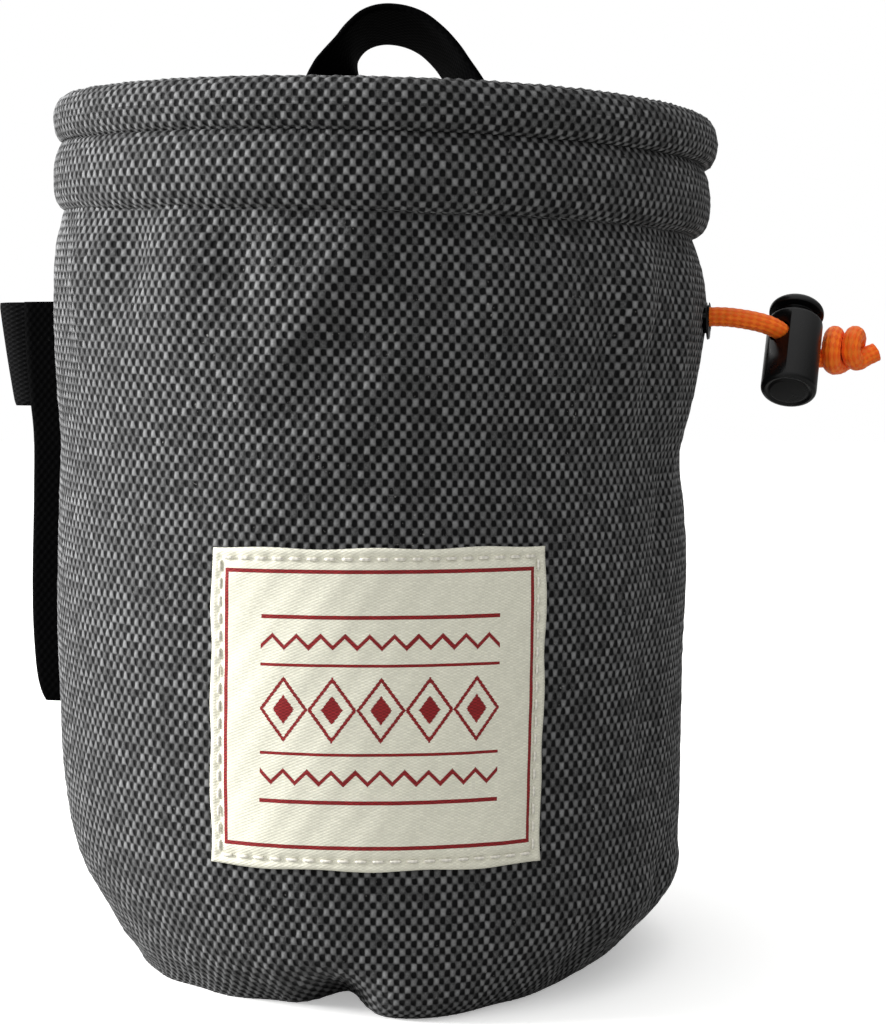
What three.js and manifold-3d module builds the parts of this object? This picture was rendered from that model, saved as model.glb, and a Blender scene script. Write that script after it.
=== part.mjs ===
// Climbing chalk bag: a round cloth bag with a rolled rim, standing on its own base.
// Millimetres, +Z up, X to the right and Y to the back. The origin is the centre of the base.
import * as THREE from 'three';
import { mergeVertices } from 'three/addons/utils/BufferGeometryUtils.js';
import Module from 'manifold-3d';

const wasm = await Module();
wasm.setup();

// The bag
const rimRadius = 61;
const bagHeight = 149.5;
const rimLift = 5.5;
const rollHeight = 8.3;
const rollThickness = 5.6;
const collarHeight = 12.3;
const collarThickness = 3;
const clothThickness = 2.5;
const foldDepth = 1.5;
const baseRadius = 34;
const baseThickness = 2.5;
const seatGap = 0.3;
const clothGap = 0.45;

// The label on the front
const labelWidth = 55;
const labelHeight = 51;
const labelBottom = 25.3;
const labelThickness = 0.9;
const labelAzimuth = -90.7;

// The carry loop at the back
const loopWebbing = 20;
const loopThickness = 1.5;
const loopCentre = 4;
const loopSpread = 13.5;
const loopRise = 29;
const loopLean = 14;
const loopFootLength = 17;
const loopStepCount = 34;

// The side seam's tape and the brush loop beside it
const seamAzimuth = 168;
const tapeDrop = 16.1;
const tapeLength = 76.5;
const tapeReach = 9.5;
const tapeThickness = 2;
const brushLoopHeight = 20;
const brushLoopReach = 17;
const brushLoopGap = 8;
const brushLoopThickness = 1.3;
const brushLoopTaper = 2.5;

// The draw cord, its eyelet and its lock
const cordDiameter = 3.5;
const cordClearance = 0.35;
const eyeletAzimuth = -14;
const eyeletDrop = 15.3;
const eyeletRadius = 3.5;
const eyeletFlange = 0.8;
const eyeletWall = 0.5;
const eyeletPlay = 0.35;
const lockRadius = 4.9;
const lockLength = 15.6;
const lockWall = 1.3;
const lockFloor = 2;
const lockEdge = 0.6;
const lockLeanRight = 14;
const lockLeanBack = 35;
const lockCordHeight = 11.2;
const plungerNeck = 1.7;
const plungerHead = 2.3;
const plungerTravel = 1.4;
const plungerPlay = 0.35;
const knotSize = 4.4;
const tailLength = 4;

// How finely the round shapes are cut
const columnCount = 72;
const roundSideCount = 20;
const cordSideCount = 8;
const cordStepCount = 12;
const waySideCount = 12;
const wayStepCount = 24;

const cordRoute = [
  [54.4, -13.6, 114.2],
  [56.6, -14.2, 114.2],
  [58.9, -14.8, 114.3],
  [61.2, -15.5, 114.2],
  [63.4, -16.1, 113.9],
  [65.5, -16.5, 113.5],
  [67.8, -16.5, 112.9],
  [70.0, -15.5, 112.0],
  [71.8, -14.0, 110.9],
  [73.5, -12.5, 109.8],
  [75.1, -11.0, 108.7],
  [76.6, -9.5, 107.7],
  [78.2, -8.1, 107.1],
  [80.0, -7.0, 106.9],
  [81.9, -6.2, 107.2],
].map((point) => new THREE.Vector3(...point));

// How far the rim's line is lifted at each azimuth, as a share of rimLift
const rimLine = [
  { azimuth: -180, lift: 1.0 },
  { azimuth: -135, lift: 0.56 },
  { azimuth: -90, lift: 0.25 },
  { azimuth: -45, lift: 0.11 },
  { azimuth: 0, lift: 0.10 },
  { azimuth: 45, lift: 0.16 },
  { azimuth: 90, lift: 0.42 },
  { azimuth: 135, lift: 0.8 },
  { azimuth: 180, lift: 1.0 },
];

// Radii of the rolled rim and the collar band at their widest, as shares of rimRadius
const rollSection = { right: 1.0, back: 0.995, left: 0.997, front: 1.0 };
const collarSection = { right: 0.977, back: 0.985, left: 0.996, front: 0.99 };

// The body from its foot up: the height is a share of the body's own height,
// the four radii are shares of rimRadius
const bodySections = [
  { height: 0.000, right: 0.660, back: 0.735, left: 0.735, front: 0.790 },
  { height: 0.017, right: 0.700, back: 0.785, left: 0.752, front: 0.835 },
  { height: 0.045, right: 0.757, back: 0.830, left: 0.802, front: 0.872 },
  { height: 0.076, right: 0.825, back: 0.865, left: 0.843, front: 0.895 },
  { height: 0.114, right: 0.880, back: 0.895, left: 0.898, front: 0.910 },
  { height: 0.160, right: 0.881, back: 0.920, left: 0.936, front: 0.922 },
  { height: 0.210, right: 0.887, back: 0.936, left: 0.957, front: 0.928 },
  { height: 0.270, right: 0.890, back: 0.946, left: 0.972, front: 0.932 },
  { height: 0.340, right: 0.893, back: 0.950, left: 0.978, front: 0.935 },
  { height: 0.430, right: 0.898, back: 0.954, left: 0.986, front: 0.938 },
  { height: 0.530, right: 0.908, back: 0.955, left: 0.985, front: 0.938 },
  { height: 0.610, right: 0.902, back: 0.952, left: 0.981, front: 0.936 },
  { height: 0.690, right: 0.888, back: 0.950, left: 0.976, front: 0.936 },
  { height: 0.750, right: 0.917, back: 0.955, left: 0.986, front: 0.946 },
  { height: 0.820, right: 0.947, back: 0.965, left: 0.994, front: 0.960 },
  { height: 0.890, right: 0.968, back: 0.975, left: 0.997, front: 0.972 },
  { height: 0.950, right: 0.955, back: 0.972, left: 0.990, front: 0.968 },
  { height: 1.000, right: 0.925, back: 0.955, left: 0.971, front: 0.948 },
];

// Folds and dents: azimuth and height of the middle, half widths in degrees and in shares
// of the body's height, the lean in degrees over the body's height, and the depth as a share
// of foldDepth, which is outward where it is negative
const folds = [
  { azimuth: -136, height: 0.94, halfTurn: 8, halfHeight: 0.09, lean: 0, depth: 0.8 },
  { azimuth: -115, height: 0.95, halfTurn: 7, halfHeight: 0.08, lean: 0, depth: 0.7 },
  { azimuth: -82, height: 0.90, halfTurn: 10, halfHeight: 0.12, lean: 20, depth: 1.0 },
  { azimuth: -104, height: 0.76, halfTurn: 13, halfHeight: 0.30, lean: 45, depth: -0.8 },
  { azimuth: -70, height: 0.70, halfTurn: 22, halfHeight: 0.25, lean: 40, depth: 0.5 },
  { azimuth: -55, height: 0.90, halfTurn: 7, halfHeight: 0.12, lean: 0, depth: 0.6 },
  { azimuth: -43, height: 0.88, halfTurn: 7, halfHeight: 0.18, lean: 6, depth: -0.7 },
  { azimuth: -32, height: 0.90, halfTurn: 7, halfHeight: 0.14, lean: 0, depth: 0.8 },
  { azimuth: -22, height: 0.72, halfTurn: 9, halfHeight: 0.16, lean: 60, depth: -0.6 },
  { azimuth: -158, height: 0.86, halfTurn: 9, halfHeight: 0.14, lean: 0, depth: 0.7 },
  { azimuth: -45, height: 0.48, halfTurn: 12, halfHeight: 0.12, lean: 0, depth: -0.4 },
  { azimuth: 30, height: 0.85, halfTurn: 12, halfHeight: 0.20, lean: -10, depth: 0.7 },
  { azimuth: 75, height: 0.70, halfTurn: 14, halfHeight: 0.30, lean: 15, depth: 0.6 },
  { azimuth: 120, height: 0.85, halfTurn: 11, halfHeight: 0.22, lean: 10, depth: 0.7 },
  { azimuth: -50, height: 0.06, halfTurn: 7, halfHeight: 0.07, lean: 0, depth: 0.9 },
  { azimuth: -28, height: 0.12, halfTurn: 7, halfHeight: 0.06, lean: 0, depth: 0.9 },
  { azimuth: 40, height: 0.07, halfTurn: 9, halfHeight: 0.08, lean: 0, depth: 0.8 },
  { azimuth: 110, height: 0.07, halfTurn: 9, halfHeight: 0.08, lean: 0, depth: 0.9 },
  { azimuth: -82, height: 0.0, halfTurn: 18, halfHeight: 0.10, lean: 0, depth: -2.2 },
  { azimuth: -100, height: 0.0, halfTurn: 11, halfHeight: 0.08, lean: 0, depth: 6.0 },
  { azimuth: -40, height: 0.0, halfTurn: 24, halfHeight: 0.09, lean: 0, depth: 1.2 },
  { azimuth: -113, height: 0.0, halfTurn: 16, halfHeight: 0.08, lean: 0, depth: 2.4 },
  { azimuth: -131, height: 0.0, halfTurn: 12, halfHeight: 0.08, lean: 0, depth: 1.0 },
];

// The rolled rim's outline: distances outward and up, as shares of its thickness and height
const rollOutline = [
  { out: 1.00, up: 0.50 },
  { out: 0.93, up: 0.76 },
  { out: 0.74, up: 0.94 },
  { out: 0.48, up: 1.00 },
  { out: 0.20, up: 0.92 },
  { out: 0.00, up: 0.66 },
  { out: 0.00, up: 0.32 },
  { out: 0.20, up: 0.07 },
  { out: 0.48, up: 0.00 },
  { out: 0.78, up: 0.06 },
  { out: 0.94, up: 0.24 },
];

// The collar band's outline in the same way
const collarOutline = [
  { out: 0.72, up: 0.00 },
  { out: 0.95, up: 0.14 },
  { out: 1.00, up: 0.36 },
  { out: 0.98, up: 0.62 },
  { out: 0.88, up: 0.84 },
  { out: 0.62, up: 1.00 },
  { out: 0.00, up: 1.00 },
  { out: 0.00, up: 0.50 },
  { out: 0.00, up: 0.00 },
];

const radians = THREE.MathUtils.degToRad;

// A smooth curve through a table's rows, read at one place
function tableValue(rows, key, column, place) {
  const last = rows.length - 1;
  const limited = Math.min(Math.max(place, rows[0][key]), rows[last][key]);
  let index = 0;
  while (index < last - 1 && limited > rows[index + 1][key]) {
    index += 1;
  }
  const here = rows[index];
  const next = rows[index + 1];
  const before = rows[Math.max(index - 1, 0)];
  const after = rows[Math.min(index + 2, last)];
  const span = next[key] - here[key];
  const share = (limited - here[key]) / span;
  const slopeHere = (next[column] - before[column]) / (next[key] - before[key]);
  const slopeNext = (after[column] - here[column]) / (after[key] - here[key]);
  const square = share * share;
  const cube = square * share;
  return (2 * cube - 3 * square + 1) * here[column] + (cube - 2 * square + share) * span * slopeHere
    + (3 * square - 2 * cube) * next[column] + (cube - square) * span * slopeNext;
}

// A radius between the four named sides
function sideRadius(section, azimuth) {
  const angle = radians(azimuth);
  const mean = (section.right + section.back + section.left + section.front) / 4;
  const oval = (section.right + section.left - section.back - section.front) / 4;
  const share = mean + (section.right - section.left) / 2 * Math.cos(angle)
    + (section.back - section.front) / 2 * Math.sin(angle) + oval * Math.cos(2 * angle);
  return rimRadius * share;
}

function turnBetween(azimuth, other) {
  const turn = (azimuth - other) % 360;
  if (turn > 180) {
    return turn - 360;
  }
  return turn < -180 ? turn + 360 : turn;
}

// A smooth hump that is 1 in the middle and 0 from its half width on
function hump(distance, halfWidth) {
  const share = Math.min(Math.abs(distance) / halfWidth, 1);
  return (1 + Math.cos(Math.PI * share)) / 2;
}

function rimTop(azimuth) {
  return bagHeight + rimLift * tableValue(rimLine, 'azimuth', 'lift', turnBetween(azimuth, 0));
}

function rollFoot(azimuth) {
  return rimTop(azimuth) - rollHeight;
}

function bodyTop(azimuth) {
  return rollFoot(azimuth) - collarHeight;
}

// The body's outer radius at an azimuth and a share of its height
function bodyRadius(azimuth, height) {
  const section = {};
  for (const side of ['right', 'back', 'left', 'front']) {
    section[side] = tableValue(bodySections, 'height', side, height);
  }
  let depth = 0;
  for (const fold of folds) {
    const rise = height - fold.height;
    const turn = turnBetween(azimuth, fold.azimuth + fold.lean * rise);
    depth += fold.depth * hump(turn, fold.halfTurn) * hump(rise, fold.halfHeight);
  }
  return sideRadius(section, azimuth) - foldDepth * depth;
}

function bodyRadiusAt(azimuth, z) {
  return bodyRadius(azimuth, z / bodyTop(azimuth));
}

function polar(azimuth, radius, z) {
  const angle = radians(azimuth);
  return new THREE.Vector3(radius * Math.cos(angle), radius * Math.sin(angle), z);
}

function geometryFrom(points, faces) {
  const geometry = new THREE.BufferGeometry();
  geometry.setAttribute('position', new THREE.Float32BufferAttribute(points.flatMap((p) => p.toArray()), 3));
  geometry.setIndex(faces);
  return geometry;
}

// A ring all round the bag: outline(azimuth) gives its closed section, seen with +Z up and
// the bag's axis on the left, running anticlockwise
function ringGeometry(outline) {
  const points = [];
  const faces = [];
  let size = 0;
  for (let column = 0; column < columnCount; column += 1) {
    const section = outline(360 * column / columnCount);
    size = section.length;
    points.push(...section);
  }
  for (let column = 0; column < columnCount; column += 1) {
    const next = (column + 1) % columnCount;
    for (let row = 0; row < size; row += 1) {
      const above = (row + 1) % size;
      const a = column * size + row;
      const b = next * size + row;
      const c = next * size + above;
      const d = column * size + above;
      faces.push(a, b, c, a, c, d);
    }
  }
  return geometryFrom(points, faces);
}

// A closed sheet through equal sections, each running along one face of the sheet and back
// along the other, with its ends filled across the sheet
function sheetGeometry(sections) {
  const size = sections[0].length;
  const points = sections.flat();
  const faces = [];
  for (let step = 0; step < sections.length - 1; step += 1) {
    for (let corner = 0; corner < size; corner += 1) {
      const beside = (corner + 1) % size;
      const a = step * size + corner;
      const b = step * size + beside;
      faces.push(a, a + size, b + size, a, b + size, b);
    }
  }
  const end = (sections.length - 1) * size;
  for (let rung = 0; rung < size / 2 - 1; rung += 1) {
    const far = size - 1 - rung;
    faces.push(rung, rung + 1, far - 1, rung, far - 1, far);
    faces.push(end + rung, end + far - 1, end + rung + 1, end + rung, end + far, end + far - 1);
  }
  return geometryFrom(points, faces);
}

function solidFrom(geometry) {
  const bare = geometry.clone();
  bare.deleteAttribute('normal');
  bare.deleteAttribute('uv');
  const merged = mergeVertices(bare, 1e-4);
  return new wasm.Manifold(new wasm.Mesh({
    numProp: 3,
    vertProperties: new Float32Array(merged.attributes.position.array),
    triVerts: new Uint32Array(merged.index.array),
  }));
}

function geometryOf(solid) {
  const mesh = solid.getMesh();
  const geometry = new THREE.BufferGeometry();
  geometry.setAttribute('position', new THREE.Float32BufferAttribute(mesh.vertProperties, 3));
  geometry.setIndex(Array.from(mesh.triVerts));
  return geometry;
}

// A round tube along a curve, with flat ends
function tubeGeometry(curve, radius, steps, sides) {
  const section = new THREE.Shape();
  for (let side = 0; side < sides; side += 1) {
    const angle = 2 * Math.PI * side / sides;
    const x = radius * Math.cos(angle);
    const y = radius * Math.sin(angle);
    if (side === 0) {
      section.moveTo(x, y);
    } else {
      section.lineTo(x, y);
    }
  }
  section.closePath();
  return new THREE.ExtrudeGeometry(section, { steps, extrudePath: curve, curveSegments: 1 });
}

// A turned shape about its own +Z axis from rows of radius and height
function turnedGeometry(outline, sides) {
  const profile = outline.map(([radius, z]) => new THREE.Vector2(radius, z));
  const geometry = new THREE.LatheGeometry(profile, sides);
  geometry.rotateX(Math.PI / 2);
  return geometry;
}

const group = new THREE.Group();

function cloth(color) {
  return new THREE.MeshStandardMaterial({ color, roughness: 0.92, metalness: 0 });
}

function addMesh(parent, name, geometry, material) {
  geometry.computeVertexNormals();
  const mesh = new THREE.Mesh(geometry, material);
  mesh.name = name;
  parent.add(mesh);
  return mesh;
}

const bodyCloth = cloth(0x4a4b4d);
const webbing = cloth(0x131314);
const hardPlastic = new THREE.MeshStandardMaterial({ color: 0x101112, roughness: 0.38, metalness: 0 });
const cordCloth = cloth(0xf0641e);

// The rolled rim
function rollSectionAt(azimuth) {
  const radius = sideRadius(rollSection, azimuth);
  const low = rollFoot(azimuth) + seatGap / 2;
  return rollOutline.map(({ out, up }) => polar(
    azimuth,
    radius - rollThickness * (1 - out),
    low + (rollHeight - seatGap / 2) * up,
  ));
}

// The collar band under it
function collarSectionAt(azimuth) {
  const radius = sideRadius(collarSection, azimuth);
  const low = bodyTop(azimuth) + seatGap / 2;
  return collarOutline.map(({ out, up }) => polar(
    azimuth,
    radius - collarThickness * (1 - out),
    low + (collarHeight - seatGap) * up,
  ));
}

// The body's wall: up the outside, over its top edge, down the inside to the turned-in foot
const outerHeights = bodySections.map((section) => section.height);
const innerHeights = [1, 0.9, 0.8, 0.69, 0.58, 0.46, 0.34, 0.22, 0.14, 0.08, 0.04];

function bodySectionAt(azimuth) {
  const top = bodyTop(azimuth) - seatGap / 2;
  const footRadius = baseRadius + seatGap;
  const outside = outerHeights.map((height) => polar(azimuth, bodyRadius(azimuth, height), height * top));
  const inside = innerHeights.map((height) => {
    const z = Math.max(height * top, clothThickness);
    const radius = bodyRadius(azimuth, height) - clothThickness;
    return polar(azimuth, radius, z);
  });
  return [...outside, ...inside, polar(azimuth, footRadius, clothThickness), polar(azimuth, footRadius, 0)];
}

// The hole for the eyelet, along the bag's radius
const eyeletBore = cordDiameter / 2 + cordClearance + eyeletPlay / 2;
const eyeletTube = eyeletBore + eyeletWall;
const eyeletHeight = bodyTop(eyeletAzimuth) - eyeletDrop;
const eyeletPlace = new THREE.Group();
const eyeletSurface = bodyRadiusAt(eyeletAzimuth, eyeletHeight);
eyeletPlace.position.copy(polar(eyeletAzimuth, eyeletSurface, eyeletHeight));
eyeletPlace.rotation.set(0, Math.PI / 2, radians(eyeletAzimuth), 'ZYX');
eyeletPlace.updateMatrix();

function eyeletHole() {
  const radius = eyeletTube + eyeletPlay;
  const reach = 3 * clothThickness;
  const hole = turnedGeometry([[0, -reach], [radius, -reach], [radius, reach], [0, reach]], roundSideCount);
  return solidFrom(hole.applyMatrix4(eyeletPlace.matrix));
}

const bodyShell = solidFrom(ringGeometry(bodySectionAt)).subtract(eyeletHole());

addMesh(group, 'rim_hem', ringGeometry(rollSectionAt), bodyCloth);
addMesh(group, 'collar_band', ringGeometry(collarSectionAt), bodyCloth);
addMesh(group, 'body_shell', geometryOf(bodyShell), bodyCloth);

// The round base panel, its underside on the floor
const baseOutline = [[0, 0], [baseRadius, 0], [baseRadius, baseThickness], [0, baseThickness]];
addMesh(group, 'base_panel', turnedGeometry(baseOutline, columnCount), bodyCloth);

// The label lies on the body's front and follows its curve
function labelGeometry() {
  const acrossCount = 12;
  const rowCount = 8;
  const middle = bodyRadiusAt(labelAzimuth, labelBottom + labelHeight / 2);
  const halfTurn = THREE.MathUtils.radToDeg(labelWidth / 2 / middle);
  const sections = [];
  for (let column = 0; column <= acrossCount; column += 1) {
    const azimuth = labelAzimuth + halfTurn * (2 * column / acrossCount - 1);
    const back = [];
    const front = [];
    for (let row = 0; row <= rowCount; row += 1) {
      const z = labelBottom + labelHeight * row / rowCount;
      const radius = bodyRadiusAt(azimuth, z) + clothGap;
      back.push(polar(azimuth, radius, z));
      front.push(polar(azimuth, radius + labelThickness, z));
    }
    sections.push([...front, ...back.reverse()]);
  }
  return sheetGeometry(sections);
}

addMesh(group, 'front_label', labelGeometry(), cloth(0xe4dcc6));

// A flat strap along a curve: turnAt(share) gives its width direction
function strapGeometry(curve, width, thickness, stepCount, turnAt) {
  const sections = [];
  for (let step = 0; step <= stepCount; step += 1) {
    const share = step / stepCount;
    const centre = curve.getPoint(share);
    const along = curve.getTangent(share);
    const wide = turnAt(share).addScaledVector(along, -turnAt(share).dot(along)).normalize();
    const thick = new THREE.Vector3().crossVectors(along, wide);
    sections.push([[1, -1], [-1, -1], [-1, 1], [1, 1]].map(([side, face]) => centre.clone()
      .addScaledVector(wide, side * width / 2)
      .addScaledVector(thick, face * thickness / 2)));
  }
  return sheetGeometry(sections);
}

// The carry loop: both feet lie against the rim and the collar, and the arch leans back.
// Heights are shares of loopRise above the rim, places are shares of loopSpread, and the turn
// is that of the strap's width from the bag's right
const loopPath = [
  { across: -1.00, up: 0.00, turn: 9 },
  { across: -0.99, up: 0.27, turn: 22 },
  { across: -0.96, up: 0.48, turn: 33 },
  { across: -0.94, up: 0.62, turn: 54 },
  { across: -0.91, up: 0.74, turn: 78 },
  { across: -0.81, up: 0.87, turn: 87 },
  { across: -0.62, up: 0.965, turn: 89 },
  { across: -0.35, up: 1.01, turn: 90 },
  { across: -0.03, up: 1.00, turn: 91 },
  { across: 0.28, up: 0.94, turn: 92 },
  { across: 0.55, up: 0.83, turn: 93 },
  { across: 0.76, up: 0.695, turn: 95 },
  { across: 0.89, up: 0.54, turn: 101 },
  { across: 0.96, up: 0.35, turn: 120 },
  { across: 0.99, up: 0.16, turn: 145 },
  { across: 1.00, up: 0.00, turn: 163 },
];

function loopGeometry() {
  const standOff = clothGap + loopThickness / 2;
  const lean = Math.tan(radians(loopLean));
  const points = [];
  const turns = [];
  const footStepCount = 3;
  const addFoot = (row, order) => {
    const across = loopCentre + loopSpread * row.across;
    const azimuth = THREE.MathUtils.radToDeg(Math.acos(across / rimRadius));
    const radius = Math.max(sideRadius(rollSection, azimuth), sideRadius(collarSection, azimuth)) + standOff;
    for (const step of order) {
      const z = rimTop(azimuth) - loopFootLength * step / footStepCount;
      points.push(polar(azimuth, radius, z));
      turns.push(azimuth - 90 + (row.across < 0 ? 0 : 180));
    }
  };
  addFoot(loopPath[0], [3, 2, 1, 0]);
  const backLine = rimTop(90);
  for (const row of loopPath.slice(1, -1)) {
    const rise = loopRise * row.up;
    const across = loopCentre + loopSpread * row.across;
    const backRadius = sideRadius(rollSection, 90) + standOff;
    const depth = Math.sqrt(backRadius ** 2 - across ** 2) + lean * rise;
    points.push(new THREE.Vector3(across, depth, backLine + rise));
    turns.push(row.turn);
  }
  addFoot(loopPath[loopPath.length - 1], [0, 1, 2, 3]);
  const curve = new THREE.CatmullRomCurve3(points, false, 'centripetal');
  const back = new THREE.Vector3(0, Math.cos(radians(loopLean)), -Math.sin(radians(loopLean)));
  const turnAt = (share) => {
    const place = share * (turns.length - 1);
    const index = Math.min(Math.floor(place), turns.length - 2);
    const turn = radians(THREE.MathUtils.lerp(turns[index], turns[index + 1], place - index));
    return new THREE.Vector3(Math.cos(turn), 0, 0).addScaledVector(back, Math.sin(turn));
  };
  return strapGeometry(curve, loopWebbing, loopThickness, loopStepCount, turnAt);
}

addMesh(group, 'carry_loop', loopGeometry(), webbing);

const tapeTop = bodyTop(seamAzimuth) - tapeDrop;

// A point beside the side seam: outward from the bag's axis, and backward along its skin
function seamPoint(outward, backward, z) {
  const angle = radians(seamAzimuth);
  const along = new THREE.Vector3(Math.sin(angle), -Math.cos(angle), 0);
  return polar(seamAzimuth, outward, z).addScaledVector(along, backward);
}

// The tape stands out of the seam with its face to the front, its lower corner rounded
function tapeGeometry() {
  const outline = [
    { up: 0.00, reach: 0.66 },
    { up: 0.02, reach: 0.74 },
    { up: 0.06, reach: 0.82 },
    { up: 0.14, reach: 0.86 },
    { up: 0.30, reach: 0.88 },
    { up: 0.50, reach: 0.88 },
    { up: 0.70, reach: 0.93 },
    { up: 0.86, reach: 0.98 },
    { up: 1.00, reach: 1.00 },
  ];
  const front = -tapeThickness - seatGap / 2;
  const sections = outline.map(({ up, reach }) => {
    const z = tapeTop - tapeLength * (1 - up);
    const inner = bodyRadiusAt(seamAzimuth, z) + clothGap;
    const outer = inner + tapeReach * reach;
    return [
      seamPoint(outer, front, z),
      seamPoint(outer, -seatGap / 2, z),
      seamPoint(inner, -seatGap / 2, z),
      seamPoint(inner, front, z),
    ];
  });
  return sheetGeometry(sections);
}

addMesh(group, 'side_tape', tapeGeometry(), webbing);

// The brush loop is a band of elastic bent into a U, both ends in the same seam
function brushLoopGeometry() {
  const inside = brushLoopGap / 2;
  const outside = inside + brushLoopThickness;
  const middle = seatGap / 2 + outside;
  const bendStepCount = 8;
  const bottom = tapeTop - brushLoopHeight;
  const levels = [
    { z: bottom, reach: brushLoopReach - brushLoopTaper },
    { z: bottom + brushLoopHeight / 2, reach: brushLoopReach - brushLoopTaper / 2 },
    { z: tapeTop, reach: brushLoopReach },
  ];
  const sections = levels.map(({ z, reach }) => {
    const skin = bodyRadiusAt(seamAzimuth, z) + clothGap;
    const turnCentre = skin + reach - outside;
    const arc = (radius, from, to) => {
      const points = [];
      for (let step = 0; step <= bendStepCount; step += 1) {
        const angle = THREE.MathUtils.lerp(from, to, step / bendStepCount);
        points.push(seamPoint(turnCentre + radius * Math.cos(angle), middle + radius * Math.sin(angle), z));
      }
      return points;
    };
    const endRadius = Math.sqrt(skin ** 2 - (middle + outside) ** 2);
    const endSlope = (middle + outside) / endRadius;
    const half = Math.PI / 2;
    return [
      seamPoint(skin, middle - outside, z),
      ...arc(outside, -half, half),
      seamPoint(endRadius, middle + outside, z),
      seamPoint(endRadius + endSlope * brushLoopThickness, middle + inside, z),
      ...arc(inside, half, -half),
      seamPoint(skin, middle - inside, z),
    ];
  });
  return sheetGeometry(sections);
}

addMesh(group, 'brush_loop', brushLoopGeometry(), webbing);

// The eyelet: a flange on the cloth and a short tube through it
function eyeletGeometry() {
  const inner = -clothThickness;
  return turnedGeometry([
    [eyeletBore, inner],
    [eyeletTube, inner],
    [eyeletTube, clothGap],
    [eyeletRadius, clothGap],
    [eyeletRadius, clothGap + eyeletFlange * 0.6],
    [eyeletRadius - eyeletFlange * 0.5, clothGap + eyeletFlange],
    [eyeletBore, clothGap + eyeletFlange],
    [eyeletBore, inner],
  ], roundSideCount);
}

group.add(eyeletPlace);
addMesh(eyeletPlace, 'cord_eyelet', eyeletGeometry(), hardPlastic);

// The draw cord in one length, from the eyelet through the lock and into the knot
const cordCurve = new THREE.CatmullRomCurve3(cordRoute, false, 'centripetal');
const cordTube = tubeGeometry(cordCurve, cordDiameter / 2, cordStepCount, cordSideCount);
addMesh(group, 'drawcord', cordTube, cordCloth);

// The lock's own axis, from its closed end to its plunger
const lockAxis = new THREE.Vector3(
  Math.sin(radians(lockLeanRight)) * Math.cos(radians(lockLeanBack)),
  Math.sin(radians(lockLeanBack)),
  Math.cos(radians(lockLeanRight)) * Math.cos(radians(lockLeanBack)),
);
const lockPlace = new THREE.Group();
lockPlace.quaternion.setFromUnitVectors(new THREE.Vector3(0, 0, 1), lockAxis);
lockPlace.position.copy(cordRoute[9]).addScaledVector(lockAxis, -lockCordHeight);
lockPlace.updateMatrix();

// The cord's way through the lock, seen from the lock, moved along its axis by a shift
function cordWay(shift) {
  const way = tubeGeometry(cordCurve, cordDiameter / 2 + cordClearance, wayStepCount, waySideCount);
  way.applyMatrix4(lockPlace.matrix.clone().invert());
  way.translate(0, 0, shift);
  return solidFrom(way);
}

const boreRadius = lockRadius - lockWall;
const stemRadius = boreRadius - plungerPlay;

function barrelGeometry() {
  const outline = [
    [0, 0],
    [lockRadius - lockEdge, 0],
    [lockRadius, lockEdge],
    [lockRadius, lockLength - lockEdge],
    [lockRadius - lockEdge, lockLength],
    [boreRadius, lockLength],
    [boreRadius, lockFloor],
    [0, lockFloor],
  ];
  return geometryOf(solidFrom(turnedGeometry(outline, roundSideCount)).subtract(cordWay(0)));
}

function plungerGeometry() {
  const neckTop = lockLength + plungerNeck;
  const stemFoot = lockFloor + plungerTravel + plungerPlay;
  const outline = [
    [0, stemFoot],
    [stemRadius, stemFoot],
    [stemRadius, neckTop],
    [lockRadius, neckTop],
    [lockRadius, neckTop + plungerHead * 0.45],
    [lockRadius * 0.86, neckTop + plungerHead * 0.8],
    [lockRadius * 0.5, neckTop + plungerHead],
    [0, neckTop + plungerHead],
  ];
  let plunger = solidFrom(turnedGeometry(outline, roundSideCount));
  const shiftCount = 4;
  for (let step = 0; step <= shiftCount; step += 1) {
    plunger = plunger.subtract(cordWay(plungerTravel * step / shiftCount));
  }
  return geometryOf(plunger);
}

group.add(lockPlace);
addMesh(lockPlace, 'cord_lock_barrel', barrelGeometry(), hardPlastic);
addMesh(lockPlace, 'cord_lock_plunger', plungerGeometry(), hardPlastic);

// The stopper knot: a core, two turns of cord round it and the short tail. Places and radii
// are shares of knotSize from the core's middle, lean and swing turn each ring about Y and Z
const knotCore = { along: 0.5, up: 0.35, radius: 0.72 };
const knotTurns = [
  { along: -0.42, up: 0.00, radius: 0.58, lean: 76, swing: 8 },
  { along: 0.45, up: 0.12, radius: 0.52, lean: 108, swing: -10 },
];
const tailDrop = 0.3;

function knotGeometry() {
  const end = cordRoute[cordRoute.length - 1];
  const strand = cordDiameter / 2;
  const middle = end.clone().add(new THREE.Vector3(knotCore.along, 0, knotCore.up).multiplyScalar(knotSize));
  const core = new THREE.SphereGeometry(knotSize * knotCore.radius, waySideCount, cordSideCount);
  const tailEnd = middle.clone().add(new THREE.Vector3(knotSize / 2 + tailLength, 0, -tailDrop));
  const tail = tubeGeometry(new THREE.LineCurve3(middle, tailEnd), strand, 1, cordSideCount);
  let knot = solidFrom(core.translate(...middle.toArray())).add(solidFrom(tail));
  for (const turn of knotTurns) {
    const ring = new THREE.TorusGeometry(knotSize * turn.radius, strand, cordSideCount, waySideCount);
    ring.rotateY(radians(turn.lean));
    ring.rotateZ(radians(turn.swing));
    ring.translate(middle.x + knotSize * turn.along, middle.y, middle.z + knotSize * turn.up);
    knot = knot.add(solidFrom(ring));
  }
  const socket = new THREE.SphereGeometry(strand + cordClearance, waySideCount, cordSideCount);
  return geometryOf(knot
    .subtract(solidFrom(tubeGeometry(cordCurve, strand + cordClearance, wayStepCount, waySideCount)))
    .subtract(solidFrom(socket.translate(...end.toArray()))));
}

addMesh(group, 'cord_knot', knotGeometry(), cordCloth);

export default group;
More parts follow.
